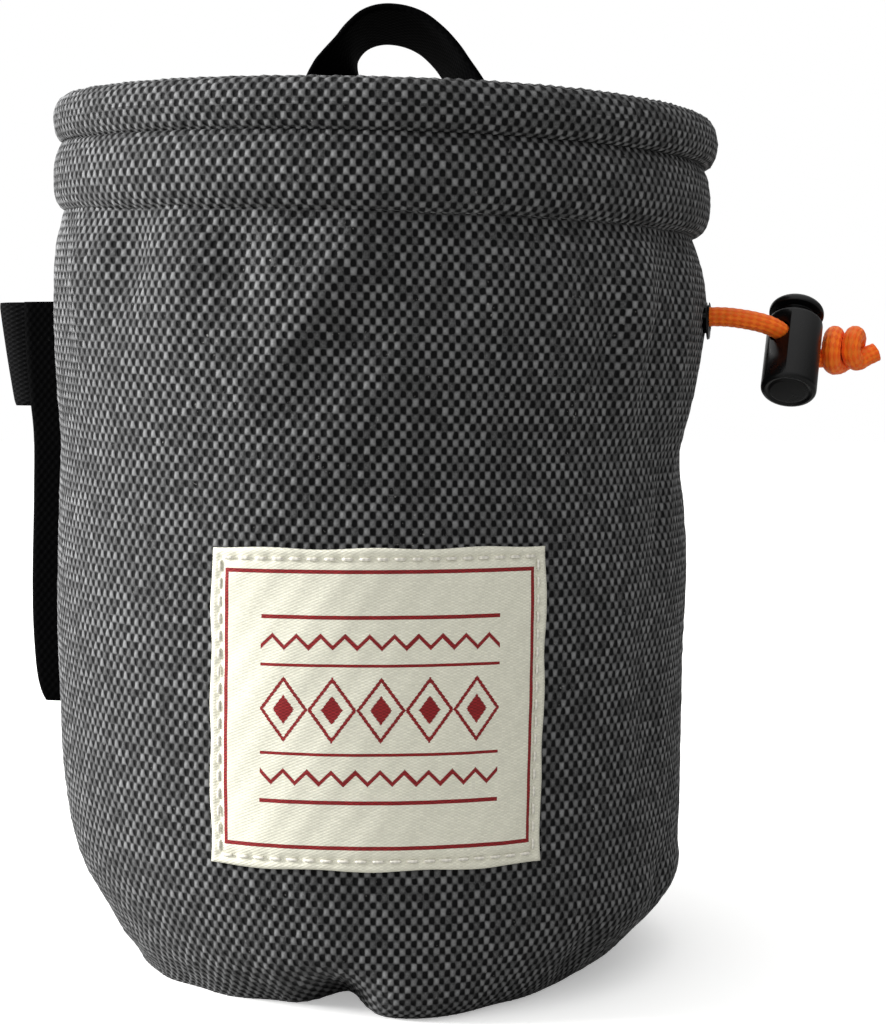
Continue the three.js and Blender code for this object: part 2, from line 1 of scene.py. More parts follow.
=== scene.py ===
import math

import bmesh
import bpy
import numpy as np
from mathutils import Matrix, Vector


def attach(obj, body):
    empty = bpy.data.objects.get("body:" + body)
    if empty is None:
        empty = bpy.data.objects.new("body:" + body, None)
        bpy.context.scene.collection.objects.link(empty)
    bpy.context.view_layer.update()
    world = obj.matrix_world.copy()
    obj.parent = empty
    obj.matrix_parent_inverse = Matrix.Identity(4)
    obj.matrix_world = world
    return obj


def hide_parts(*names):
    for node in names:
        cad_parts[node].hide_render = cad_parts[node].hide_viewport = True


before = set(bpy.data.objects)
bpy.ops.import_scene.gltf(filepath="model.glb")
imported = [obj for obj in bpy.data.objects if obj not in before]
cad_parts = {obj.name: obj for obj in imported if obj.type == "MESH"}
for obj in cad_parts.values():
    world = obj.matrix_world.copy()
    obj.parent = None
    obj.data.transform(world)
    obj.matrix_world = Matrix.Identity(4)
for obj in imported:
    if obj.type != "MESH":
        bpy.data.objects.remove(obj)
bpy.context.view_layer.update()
scene = bpy.context.scene
print("packed model loaded")

# The camera stands in front of the bag, a little above its middle
view = {
    "distance": 0.380,
    "eyeHeight": 0.103,
    "lens": 71.8,
    "shiftRight": 0.0566,
    "shiftUp": -0.129,
    "sensorWidth": 36,
    "nearClip": 0.01,
}
cameraData = bpy.data.cameras.new("viewCamera")
cameraData.lens = view["lens"]
cameraData.sensor_width = view["sensorWidth"]
cameraData.shift_x = view["shiftRight"]
cameraData.shift_y = view["shiftUp"]
cameraData.clip_start = view["nearClip"]
camera = bpy.data.objects.new("viewCamera", cameraData)
camera.location = (0, -view["distance"], view["eyeHeight"])
camera.rotation_euler = (math.radians(90), 0, 0)
scene.collection.objects.link(camera)
scene.camera = camera
print("camera placed")

# The bag's own shape in millimetres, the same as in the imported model
millimetre = 0.001
bag = {
    "rimRadius": 61.0,
    "height": 149.5,
    "rimLift": 5.5,
    "rollHeight": 8.3,
    "rollThickness": 5.6,
    "collarHeight": 12.3,
    "collarThickness": 3.0,
    "clothThickness": 2.5,
    "foldDepth": 1.5,
    "baseRadius": 34.0,
    "baseThickness": 2.5,
    "seatGap": 0.3,
    "clothGap": 0.45,
    "seamPress": 0.3,
    "collarLap": 1.2,
}

# azimuth from the bag's right, and the rim's lift as a share of rimLift
rimLine = [
    (-180, 1.0), (-135, 0.56), (-90, 0.25), (-45, 0.11), (0, 0.10),
    (45, 0.16), (90, 0.42), (135, 0.8), (180, 1.0),
]

# right, back, left and front, as shares of rimRadius
rollSides = (1.0, 0.995, 0.997, 1.0)
collarSides = (0.977, 0.985, 0.996, 0.99)

# share of the body's height, then right, back, left and front
bodySides = [
    (0.000, 0.660, 0.735, 0.735, 0.790),
    (0.017, 0.700, 0.785, 0.752, 0.835),
    (0.045, 0.757, 0.830, 0.802, 0.872),
    (0.076, 0.825, 0.865, 0.843, 0.895),
    (0.114, 0.880, 0.895, 0.898, 0.910),
    (0.160, 0.881, 0.920, 0.936, 0.922),
    (0.210, 0.887, 0.936, 0.957, 0.928),
    (0.270, 0.890, 0.946, 0.972, 0.932),
    (0.340, 0.893, 0.950, 0.978, 0.935),
    (0.430, 0.898, 0.954, 0.986, 0.938),
    (0.530, 0.908, 0.955, 0.985, 0.938),
    (0.610, 0.902, 0.952, 0.981, 0.936),
    (0.690, 0.888, 0.950, 0.976, 0.936),
    (0.750, 0.917, 0.955, 0.986, 0.946),
    (0.820, 0.947, 0.965, 0.994, 0.960),
    (0.890, 0.968, 0.975, 0.997, 0.972),
    (0.950, 0.955, 0.972, 0.990, 0.968),
    (1.000, 0.925, 0.955, 0.971, 0.948),
]

# azimuth, height, half turn, half height, lean, depth as a share of foldDepth
bodyFolds = [
    (-136, 0.94, 8, 0.09, 0, 0.8),
    (-115, 0.95, 7, 0.08, 0, 0.7),
    (-82, 0.90, 10, 0.12, 20, 1.0),
    (-104, 0.76, 13, 0.30, 45, -0.8),
    (-70, 0.70, 22, 0.25, 40, 0.5),
    (-55, 0.90, 7, 0.12, 0, 0.6),
    (-43, 0.88, 7, 0.18, 6, -0.7),
    (-32, 0.90, 7, 0.14, 0, 0.8),
    (-22, 0.72, 9, 0.16, 60, -0.6),
    (-158, 0.86, 9, 0.14, 0, 0.7),
    (-45, 0.48, 12, 0.12, 0, -0.4),
    (30, 0.85, 12, 0.20, -10, 0.7),
    (75, 0.70, 14, 0.30, 15, 0.6),
    (120, 0.85, 11, 0.22, 10, 0.7),
    (-50, 0.06, 7, 0.07, 0, 0.9),
    (-28, 0.12, 7, 0.06, 0, 0.9),
    (40, 0.07, 9, 0.08, 0, 0.8),
    (110, 0.07, 9, 0.08, 0, 0.9),
    (-82, 0.0, 18, 0.10, 0, -2.2),
    (-100, 0.0, 11, 0.08, 0, 6.0),
    (-40, 0.0, 24, 0.09, 0, 1.2),
    (-113, 0.0, 16, 0.08, 0, 2.4),
    (-131, 0.0, 12, 0.08, 0, 1.0),
]

# Softer and narrower folds of the same kind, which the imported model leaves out
softFolds = [
    (-137, 0.92, 9, 0.15, 25, 1.0),
    (-124, 0.88, 7, 0.14, 25, -0.5),
    (-112, 0.93, 6, 0.11, 30, 0.6),
    (-103, 0.95, 5, 0.07, 20, 0.4),
    (-96, 0.84, 11, 0.24, 86, 1.3),
    (-78, 0.93, 5, 0.09, 20, 0.7),
    (-66, 0.90, 5, 0.10, 0, 0.6),
    (-50, 0.84, 5, 0.16, 5, 0.8),
    (-38, 0.84, 5, 0.16, 8, 1.0),
    (-28, 0.80, 5, 0.16, 10, -0.6),
    (-30, 0.62, 6, 0.14, 50, 0.9),
    (-152, 0.90, 6, 0.12, 0, -0.6),
    (-35, 0.35, 8, 0.20, -20, 0.6),
    (-60, 0.30, 9, 0.15, 30, 0.4),
    (20, 0.90, 6, 0.12, 10, 0.9),
    (50, 0.90, 6, 0.14, -10, 0.8),
    (62, 0.84, 6, 0.15, 0, -0.6),
    (95, 0.90, 7, 0.14, 15, 0.9),
    (110, 0.90, 6, 0.10, 0, 0.7),
    (135, 0.88, 6, 0.15, -10, 0.9),
    (150, 0.86, 6, 0.12, 0, -0.5),
    (10, 0.60, 9, 0.20, 30, 0.5),
    (60, 0.40, 10, 0.20, -30, 0.6),
    (140, 0.35, 10, 0.20, 30, 0.5),
    (-99, 0.01, 8, 0.055, 0, 2.1),
]

# Puckers where the cloth is gathered into the seams
puckers = {
    "seed": 7,
    "depth": 0.42,
    "sway": 0.3,
    "halfTurn": (0.45, 0.8),
    "halfHeight": (0.5, 1.3),
    "lean": 12,
    "share": (0.2, 1),
}

# how many lie along a seam, and the seam's level and their reach as shares of the height
puckerSeams = [
    (44, 1.0, 0.075),
    (26, 0.03, 0.06),
]


def smoothTable(keys, values, place):
    keys = np.asarray(keys, float)
    values = np.asarray(values, float)
    last = len(keys) - 1
    limited = np.clip(place, keys[0], keys[-1])
    index = np.clip(np.searchsorted(keys, limited) - 1, 0, last - 1)
    before = np.maximum(index - 1, 0)
    after = np.minimum(index + 2, last)
    span = keys[index + 1] - keys[index]
    share = (limited - keys[index]) / span
    slopeHere = (values[index + 1] - values[before]) / (keys[index + 1] - keys[before])
    slopeNext = (values[after] - values[index]) / (keys[after] - keys[index])
    square = share * share
    cube = square * share
    return ((2 * cube - 3 * square + 1) * values[index] + (cube - 2 * square + share) * span * slopeHere
            + (3 * square - 2 * cube) * values[index + 1] + (cube - square) * span * slopeNext)


def sideRadius(sides, azimuth):
    right, back, left, front = sides
    angle = np.radians(azimuth)
    mean = (right + back + left + front) / 4
    oval = (right + left - back - front) / 4
    share = mean + (right - left) / 2 * np.cos(angle) + (back - front) / 2 * np.sin(angle)
    return bag["rimRadius"] * (share + oval * np.cos(2 * angle))


def turnBetween(azimuth, other):
    return (np.asarray(azimuth) - other + 180) % 360 - 180


def hump(distance, halfWidth):
    return (1 + np.cos(np.pi * np.minimum(np.abs(distance) / halfWidth, 1))) / 2


def rimTop(azimuth):
    keys, lifts = zip(*rimLine)
    return bag["height"] + bag["rimLift"] * smoothTable(keys, lifts, turnBetween(azimuth, 0))


def rollFoot(azimuth):
    return rimTop(azimuth) - bag["rollHeight"]


def bodyTop(azimuth):
    return rollFoot(azimuth) - bag["collarHeight"]


def foldSum(folds, azimuth, height):
    depth = 0
    for middle, level, halfTurn, halfHeight, lean, amount in folds:
        rise = height - level
        turn = turnBetween(azimuth, middle + lean * rise)
        depth = depth + amount * hump(turn, halfTurn) * hump(rise, halfHeight)
    return depth


def makePuckers():
    chance = np.random.default_rng(puckers["seed"])
    found = []
    for count, level, reach in puckerSeams:
        for index in range(count):
            azimuth = 360 * (index + chance.uniform(-puckers["sway"], puckers["sway"])) / count
            halfTurn = 360 / count * chance.uniform(*puckers["halfTurn"])
            halfHeight = reach * chance.uniform(*puckers["halfHeight"])
            lean = chance.uniform(-puckers["lean"], puckers["lean"])
            found.append((azimuth, level, halfTurn, halfHeight, lean, chance.uniform(*puckers["share"])))
    return found


puckerRows = makePuckers()


def packedRadius(azimuth, height):
    keys = [row[0] for row in bodySides]
    sides = [smoothTable(keys, [row[side] for row in bodySides], height) for side in (1, 2, 3, 4)]
    return sideRadius(sides, azimuth) - bag["foldDepth"] * foldSum(bodyFolds, azimuth, height)


def clothRadius(azimuth, height):
    fine = puckers["depth"] * foldSum(puckerRows, azimuth, height)
    return packedRadius(azimuth, height) - bag["foldDepth"] * foldSum(softFolds, azimuth, height) - fine


def unit(vectors):
    return vectors / np.linalg.norm(vectors, axis=-1, keepdims=True)


def polar(azimuth, radius, z):
    angle = np.radians(azimuth)
    return np.stack(np.broadcast_arrays(radius * np.cos(angle), radius * np.sin(angle), z), -1)


def makePiece(name, points, faces, material, cells, node=None, body="root"):
    mesh = bpy.data.meshes.new(name)
    corners = faces.tolist() if isinstance(faces, np.ndarray) else faces
    mesh.from_pydata((np.asarray(points, float) * millimetre).tolist(), [], corners)
    mesh.polygons.foreach_set("use_smooth", np.ones(len(mesh.polygons), bool))
    mesh.uv_layers.new(name="cells").data.foreach_set("uv", np.asarray(cells, np.float32).reshape(-1))
    mesh.materials.append(material)
    mesh.update()
    piece = bpy.data.objects.new(name, mesh)
    scene.collection.objects.link(piece)
    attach(piece, body)
    if node:
        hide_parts(node)
    return piece


def gridFaces(rows, columns, closed):
    across = columns if closed else columns - 1
    row, column = np.meshgrid(np.arange(rows - 1), np.arange(across), indexing="ij")
    ahead = (column + 1) % columns
    faces = np.stack([row * columns + column, row * columns + ahead,
                      (row + 1) * columns + ahead, (row + 1) * columns + column], -1)
    cells = np.stack([np.stack([column + dx, row + dy], -1) for dx, dy in ((0, 0), (1, 0), (1, 1), (0, 1))], -2)
    return faces.reshape(-1, 4), cells.reshape(-1, 2).astype(float)


def ringNormals(points):
    across = np.roll(points, -1, 1) - np.roll(points, 1, 1)
    normals = np.cross(across, np.gradient(points, axis=0))
    return normals / np.maximum(np.linalg.norm(normals, axis=-1, keepdims=True), 1e-9)


def sheetPiece(name, front, back, places, material, node):
    # a thick sheet from its two faces, closed along its edge
    rows, columns = front.shape[:2]
    size = rows * columns
    faces, _ = gridFaces(rows, columns, False)
    index = np.arange(size).reshape(rows, columns)
    border = np.concatenate([index[0], index[1:, -1], index[-1, -2::-1], index[-2:0:-1, 0]])
    ahead = np.roll(border, -1)
    sides = np.stack([border + size, ahead + size, ahead, border], -1)
    allFaces = np.vstack([faces, faces[:, ::-1] + size, sides])
    flat = places.reshape(-1, 2)
    points = np.vstack([front.reshape(-1, 3), back.reshape(-1, 3)])
    makePiece(name, points, allFaces, material, np.vstack([flat, flat])[allFaces], node)


# One column of cells for each warp thread, one row for each weft thread
weave = {
    "columns": 376,
    "rowPitch": 1.29,
    "relief": 0.10,
    "uneven": 0.05,
    "unevenLimit": 2,
    "seed": 3,
}
weaveChance = np.random.default_rng(weave["seed"])


def addRelief(points, firstRow=0):
    rows, columns = points.shape[:2]
    row, column = np.meshgrid(np.arange(rows) + firstRow, np.arange(columns), indexing="ij")
    over = np.where((row + column) % 2 == 0, 1.0, -1.0)
    chance = weaveChance.standard_normal((rows, columns)).clip(-weave["unevenLimit"], weave["unevenLimit"])
    lift = weave["relief"] * over + weave["uneven"] * chance
    return points + ringNormals(points) * lift[..., None]


def lengthAlong(line):
    return np.concatenate([[0], np.cumsum(np.linalg.norm(np.diff(line, axis=0), axis=1))])


def evenRows(outline, pitch):
    # outline is a fine run of points, and the rows lie one pitch apart along it
    length = lengthAlong(outline)
    count = max(2, int(round(length[-1] / pitch)))
    return np.interp(np.linspace(0, length[-1], count + 1), length, np.linspace(0, 1, len(outline)))


print("bag shape ready")


# Node groups that several materials share
def newGroup(name, inputs, outputs):
    group = bpy.data.node_groups.new(name, "ShaderNodeTree")
    for title, kind, value in inputs:
        socket = group.interface.new_socket(title, in_out="INPUT", socket_type=kind)
        if value is not None:
            socket.default_value = value
    for title, kind in outputs:
        group.interface.new_socket(title, in_out="OUTPUT", socket_type=kind)
    start = group.nodes.new("NodeGroupInput")
    end = group.nodes.new("NodeGroupOutput")
    return group, start, end


def setInput(tree, socket, value):
    if isinstance(value, bpy.types.NodeSocket):
        tree.links.new(value, socket)
    else:
        socket.default_value = value


def addMath(tree, operation, *values):
    node = tree.nodes.new("ShaderNodeMath")
    node.operation = operation
    for socket, value in zip(node.inputs, values):
        setInput(tree, socket, value)
    return node.outputs[0]


def addScale(tree, vector, scale):
    node = tree.nodes.new("ShaderNodeVectorMath")
    node.operation = "SCALE"
    tree.links.new(vector, node.inputs[0])
    tree.links.new(scale, node.inputs["Scale"])
    return node.outputs[0]


def addRange(tree, value, low, high, toLow=0.0, toHigh=1.0):
    node = tree.nodes.new("ShaderNodeMapRange")
    node.interpolation_type = "SMOOTHSTEP"
    for socket, amount in zip(node.inputs, (value, low, high, toLow, toHigh)):
        setInput(tree, socket, amount)
    return node.outputs["Result"]


def addMix(tree, factor, first, second):
    node = tree.nodes.new("ShaderNodeMix")
    node.data_type = "RGBA"
    # the mix node's factor, and its two colours
    for index, value in ((0, factor), (6, first), (7, second)):
        setInput(tree, node.inputs[index], value)
    return node.outputs[2]


def addNoise(tree, vector, scale, detail=2.0, roughness=0.5):
    node = tree.nodes.new("ShaderNodeTexNoise")
    for title, value in (("Vector", vector), ("Scale", scale), ("Detail", detail), ("Roughness", roughness)):
        setInput(tree, node.inputs[title], value)
    return node.outputs["Fac"]


# How the threads of every weave lie, in shares of one thread crossing
weaveLook = {
    "swayScale": 0.7,
    "swayReach": 0.35,
    "fibreScale": 3.2,
    "fibreHeight": 0.18,
    # painted shade and highlight on each raised thread: the span of the wave it runs over, and the shares darker
    # and lighter that it paints
    "paintedDomeFrom": (-0.1, 0.9),
    "paintedDomeTone": (-0.45, 0.3),
}


def buildPlainWeave():
    group, start, end = newGroup("PlainWeave", [
        ("Cells", "NodeSocketVector", None),
        ("Over Color", "NodeSocketColor", (0.3, 0.3, 0.3, 1)),
        ("Under Color", "NodeSocketColor", (0.01, 0.01, 0.01, 1)),
        ("Over Size", "NodeSocketFloat", 0.5),
        ("Softness", "NodeSocketFloat", 0.2),
        # how strongly each raised thread gets painted shade at its edges and a painted highlight at its top
        ("Painted Dome Shade", "NodeSocketFloat", 0.2),
        ("Unevenness", "NodeSocketFloat", 0.3),
    ], [("Color", "NodeSocketColor"), ("Height", "NodeSocketFloat"), ("Over", "NodeSocketFloat")])
    split = group.nodes.new("ShaderNodeSeparateXYZ")
    group.links.new(start.outputs["Cells"], split.inputs[0])
    sway = addNoise(group, start.outputs["Cells"], weaveLook["swayScale"], 1.0)
    shift = addMath(group, "MULTIPLY", addMath(group, "SUBTRACT", sway, 0.5),
                    addMath(group, "MULTIPLY", start.outputs["Unevenness"], weaveLook["swayReach"]))
    across = addMath(group, "ADD", split.outputs[0], shift)
    along = addMath(group, "ADD", split.outputs[1], shift)
    wave = addMath(group, "MULTIPLY",
                   addMath(group, "COSINE", addMath(group, "MULTIPLY", across, math.pi)),
                   addMath(group, "COSINE", addMath(group, "MULTIPLY", along, math.pi)))
    size = addMath(group, "SUBTRACT", 0.5, start.outputs["Over Size"])
    over = addRange(group, wave, addMath(group, "SUBTRACT", size, start.outputs["Softness"]),
                    addMath(group, "ADD", size, start.outputs["Softness"]))
    # each thread crossing is a little lighter or darker than the next
    crossing = group.nodes.new("ShaderNodeCombineXYZ")
    for slot, value in ((0, split.outputs[0]), (1, split.outputs[1])):
        group.links.new(addMath(group, "FLOOR", addMath(group, "ADD", value, 0.5)), crossing.inputs[slot])
    chance = group.nodes.new("ShaderNodeTexWhiteNoise")
    group.links.new(crossing.outputs[0], chance.inputs["Vector"])
    fibre = addNoise(group, start.outputs["Cells"], weaveLook["fibreScale"], 2.0, 0.6)
    spread = addMath(group, "ADD", chance.outputs["Value"], fibre)
    tone = addMath(group, "MULTIPLY_ADD", addMath(group, "SUBTRACT", spread, 1.0),
                   start.outputs["Unevenness"], 1.0)
    # painted shade and highlight: a raised thread is painted lightest at its top and darker towards its edges, as
    # a lit dome would look
    domeShading = addRange(group, wave, *weaveLook["paintedDomeFrom"], *weaveLook["paintedDomeTone"])
    paintedDomeShade = addMath(group, "MULTIPLY_ADD", domeShading, start.outputs["Painted Dome Shade"], 1.0)
    toned = addScale(group, start.outputs["Over Color"], addMath(group, "MULTIPLY", tone, paintedDomeShade))
    color = addMix(group, over, start.outputs["Under Color"], toned)
    group.links.new(color, end.inputs["Color"])
    height = addMath(group, "MULTIPLY_ADD", wave, 0.5, addMath(group, "MULTIPLY", fibre, weaveLook["fibreHeight"]))
    group.links.new(height, end.inputs["Height"])
    group.links.new(over, end.inputs["Over"])
    return group


# Slow changes of tone over the cloth, and pale lint caught on its threads
toneLook = {
    "slowScale": 55.0,
    "lintScale": 1500.0,
    "lintFrom": (0.66, 0.74),
    "patchScale": 140.0,
    "patchFrom": (0.5, 0.68),
}


def buildClothTone():
    group, start, end = newGroup("ClothTone", [
        ("Color", "NodeSocketColor", (0.5, 0.5, 0.5, 1)),
        ("Place", "NodeSocketVector", None),
        ("Fading", "NodeSocketFloat", 0.15),
        ("Lint", "NodeSocketFloat", 0.2),
        ("Lint Color", "NodeSocketColor", (0.55, 0.54, 0.52, 1)),
    ], [("Color", "NodeSocketColor")])
    slow = addNoise(group, start.outputs["Place"], toneLook["slowScale"], 3.0, 0.55)
    fading = addMath(group, "MULTIPLY_ADD", addMath(group, "SUBTRACT", slow, 0.5), start.outputs["Fading"], 1.0)
    faded = addScale(group, start.outputs["Color"], fading)
    fine = addNoise(group, start.outputs["Place"], toneLook["lintScale"], 2.0, 0.6)
    patch = addNoise(group, start.outputs["Place"], toneLook["patchScale"], 2.0, 0.5)
    specks = addMath(group, "MULTIPLY", addRange(group, fine, *toneLook["lintFrom"]),
                     addRange(group, patch, *toneLook["patchFrom"]))
    mask = addMath(group, "MULTIPLY", specks, start.outputs["Lint"])
    color = addMix(group, mask, faded, start.outputs["Lint Color"])
    group.links.new(color, end.inputs["Color"])
    return group


# The grain of moulded plastic, and the places where hands have polished it
grainLook = {
    "fineScale": 2600.0,
    "fineShare": 0.4,
    "handledScale": 300.0,
    "middle": 0.7,
}


def buildPlasticGrain():
    group, start, end = newGroup("PlasticGrain", [
        ("Place", "NodeSocketVector", None),
        ("Roughness", "NodeSocketFloat", 0.4),
        ("Grain", "NodeSocketFloat", 0.1),
    ], [("Roughness", "NodeSocketFloat"), ("Height", "NodeSocketFloat")])
    fine = addNoise(group, start.outputs["Place"], grainLook["fineScale"], 2.0, 0.6)
    handled = addNoise(group, start.outputs["Place"], grainLook["handledScale"], 3.0, 0.6)
    both = addMath(group, "MULTIPLY_ADD", fine, grainLook["fineShare"], handled)
    spread = addMath(group, "SUBTRACT", both, grainLook["middle"])
    rough = addMath(group, "MULTIPLY_ADD", spread, start.outputs["Grain"], start.outputs["Roughness"])
    group.links.new(rough, end.inputs["Roughness"])
    group.links.new(fine, end.inputs["Height"])
    return group


plainWeave = buildPlainWeave()
clothTone = buildClothTone()
plasticGrain = buildPlasticGrain()


def newMaterial(name):
    material = bpy.data.materials.new(name)
    material.use_nodes = True
    tree = material.node_tree
    shader = tree.nodes["Principled BSDF"]
    return material, tree, shader


def useGroup(tree, group, values):
    node = tree.nodes.new("ShaderNodeGroup")
    node.node_tree = group
    for title, value in values.items():
        setInput(tree, node.inputs[title], value)
    return node


def cellCoordinates(tree, scale=(1, 1)):
    uv = tree.nodes.new("ShaderNodeUVMap")
    uv.uv_map = "cells"
    if tuple(scale) == (1, 1):
        return uv.outputs[0]
    node = tree.nodes.new("ShaderNodeVectorMath")
    node.operation = "MULTIPLY"
    tree.links.new(uv.outputs[0], node.inputs[0])
    node.inputs[1].default_value = (scale[0], scale[1], 1)
    return node.outputs[0]


def addBump(tree, shader, height, distance, strength):
    bump = tree.nodes.new("ShaderNodeBump")
    bump.inputs["Distance"].default_value = distance
    bump.inputs["Strength"].default_value = strength
    tree.links.new(height, bump.inputs["Height"])
    tree.links.new(bump.outputs[0], shader.inputs["Normal"])


# Threads that come up are smoother than those below, and every sheen is equally soft
clothShine = {
    "polish": 0.1,
    "sheenRoughness": 0.5,
}


def clothMaterial(name, finish):
    # finish holds every value that a user would change for this cloth
    material, tree, shader = newMaterial(name)
    place = tree.nodes.new("ShaderNodeTexCoord").outputs["Object"]
    woven = useGroup(tree, plainWeave, {
        "Cells": cellCoordinates(tree, finish["scale"]),
        "Over Color": (*finish["over"], 1),
        "Under Color": (*finish["under"], 1),
        "Over Size": finish["overSize"],
        "Softness": finish["softness"],
        # painted shade and highlight on each thread's rounded top
        "Painted Dome Shade": finish["paintedDomeShade"],
        "Unevenness": finish["uneven"],
    })
    toned = useGroup(tree, clothTone, {
        "Color": woven.outputs["Color"],
        "Place": place,
        "Fading": finish["fading"],
        "Lint": finish["lint"],
    })
    tree.links.new(toned.outputs["Color"], shader.inputs["Base Color"])
    rough = addRange(tree, woven.outputs["Over"], 0, 1, finish["rough"], finish["rough"] - clothShine["polish"])
    tree.links.new(rough, shader.inputs["Roughness"])
    shader.inputs["Specular IOR Level"].default_value = finish["specular"]
    shader.inputs["Sheen Weight"].default_value = finish["sheen"]
    shader.inputs["Sheen Roughness"].default_value = clothShine["sheenRoughness"]
    addBump(tree, shader, woven.outputs["Height"], finish["bumpDistance"], finish["bumpStrength"])
    return material


bagCloth = clothMaterial("bagCloth", {
    "scale": (1, 1),
    "over": (0.116, 0.1165, 0.118),
    "under": (0.0012, 0.0012, 0.0014),
    "overSize": 0.56,
    "softness": 0.34,
    # painted shade and highlight on each nub, lighter at its top and darker at its sides
    "paintedDomeShade": 0.78,
    "uneven": 1.0,
    "fading": 0.6,
    "lint": 0.25,
    "rough": 0.85,
    "specular": 0.12,
    "sheen": 0.07,
    "bumpDistance": 0.00045,
    "bumpStrength": 0.8,
})

liningCloth = clothMaterial("liningCloth", {
    "scale": (2, 2),
    "over": (0.035, 0.035, 0.037),
    "under": (0.008, 0.008, 0.009),
    "overSize": 0.6,
    "softness": 0.2,
    "paintedDomeShade": 0.4,
    "uneven": 0.3,
    "fading": 0.4,
    "lint": 0.35,
    "rough": 0.95,
    "specular": 0.15,
    "sheen": 0.12,
    "bumpDistance": 0.0002,
    "bumpStrength": 0.5,
})

webbingCloth = clothMaterial("webbingCloth", {
    "scale": (1.35, 1.1),
    "over": (0.0012, 0.0012, 0.0013),
    "under": (0.0007, 0.0007, 0.0008),
    "overSize": 0.62,
    "softness": 0.3,
    "paintedDomeShade": 0.3,
    "uneven": 0.25,
    "fading": 0.3,
    "lint": 0.01,
    "rough": 0.8,
    "specular": 0.01,
    "sheen": 0.0,
    "bumpDistance": 0.00018,
    "bumpStrength": 0.6,
})

elasticCloth = clothMaterial("elasticCloth", {
    "scale": (0.8, 2.2),
    "over": (0.003, 0.003, 0.0033),
    "under": (0.001, 0.001, 0.0011),
    "overSize": 0.55,
    "softness": 0.3,
    "paintedDomeShade": 0.4,
    "uneven": 0.25,
    "fading": 0.3,
    "lint": 0.02,
    "rough": 0.8,
    "specular": 0.03,
    "sheen": 0.0,
    "bumpDistance": 0.0003,
    "bumpStrength": 0.7,
})

cordBraid = clothMaterial("cordBraid", {
    "scale": (1, 1),
    "over": (1.0, 0.19, 0.009),
    # painted shade: the under colour is the same orange darkened, for the dips between the braid's strands
    "under": (0.95, 0.12, 0.004),
    "overSize": 0.64,
    "softness": 0.34,
    "paintedDomeShade": 0.12,
    "uneven": 0.25,
    "fading": 0.35,
    "lint": 0.0,
    "rough": 0.6,
    "specular": 0.22,
    "sheen": 0.04,
    "bumpDistance": 0.00028,
    "bumpStrength": 0.75,
})
print("cloth materials ready")


# The black plastic of the lock and the eyelet
lockFinish = {
    "color": (0.0022, 0.0023, 0.0025),
    "roughness": 0.3,
    "grain": 0.2,
    "specular": 0.22,
    "fading": 0.5,
    "lint": 0.015,
    "bumpDistance": 0.00003,
    "bumpStrength": 0.35,
}


def buildPlastic():
    material, tree, shader = newMaterial("lockPlastic")
    place = tree.nodes.new("ShaderNodeTexCoord").outputs["Object"]
    grain = useGroup(tree, plasticGrain, {
        "Place": place,
        "Roughness": lockFinish["roughness"],
        "Grain": lockFinish["grain"],
    })
    tone = useGroup(tree, clothTone, {
        "Color": (*lockFinish["color"], 1),
        "Place": place,
        "Fading": lockFinish["fading"],
        "Lint": lockFinish["lint"],
    })
    tree.links.new(tone.outputs["Color"], shader.inputs["Base Color"])
    tree.links.new(grain.outputs["Roughness"], shader.inputs["Roughness"])
    shader.inputs["Specular IOR Level"].default_value = lockFinish["specular"]
    addBump(tree, shader, grain.outputs["Height"], lockFinish["bumpDistance"], lockFinish["bumpStrength"])
    return material


lockPlastic = buildPlastic()

# The draw cord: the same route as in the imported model, with its braid in relief
cordSizes = {
    "diameter": 3.5,
    "carriers": 12,
    "pitch": 2.6,
    "relief": 0.06,
    "sides": 32,
    "step": 0.22,
    "capHeight": 0.35,
    "capCell": 0.3,
    "curveSteps": 40,
}
cordRoute = [
    (54.4, -13.6, 114.2), (56.6, -14.2, 114.2), (58.9, -14.8, 114.3), (61.2, -15.5, 114.2),
    (63.4, -16.1, 113.9), (65.5, -16.5, 113.5), (67.8, -16.5, 112.9), (70.0, -15.5, 112.0),
    (71.8, -14.0, 110.9), (73.5, -12.5, 109.8), (75.1, -11.0, 108.7), (76.6, -9.5, 107.7),
    (78.2, -8.1, 107.1), (80.0, -7.0, 106.9), (81.9, -6.2, 107.2),
]


def centripetalCurve(points, count):
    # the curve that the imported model's straps and cord follow, in even shares
    points = np.asarray(points, float)
    padded = np.vstack([2 * points[0] - points[1], points, 2 * points[-1] - points[-2]])
    shares = np.linspace(0, len(points) - 1, count)
    index = np.minimum(shares.astype(int), len(points) - 2)
    weight = (shares - index)[:, None]
    p0, p1, p2, p3 = (padded[index + k] for k in range(4))
    t0, t1, t2 = (np.maximum(np.linalg.norm(b - a, axis=1, keepdims=True) ** 0.5, 1e-4)
                  for a, b in ((p0, p1), (p1, p2), (p2, p3)))
    slope1 = ((p1 - p0) / t0 - (p2 - p0) / (t0 + t1) + (p2 - p1) / t1) * t1
    slope2 = ((p2 - p1) / t1 - (p3 - p1) / (t1 + t2) + (p3 - p2) / t2) * t1
    square = weight * weight
    cube = square * weight
    return (p1 + slope1 * weight + (-3 * p1 + 3 * p2 - 2 * slope1 - slope2) * square
            + (2 * p1 - 2 * p2 + slope1 + slope2) * cube)


def evenCurve(points, step):
    fine = centripetalCurve(points, cordSizes["curveSteps"] * len(points))
    length = lengthAlong(fine)
    places = np.linspace(0, length[-1], max(2, int(round(length[-1] / step))) + 1)
    return np.stack([np.interp(places, length, fine[:, axis]) for axis in range(3)], -1), places


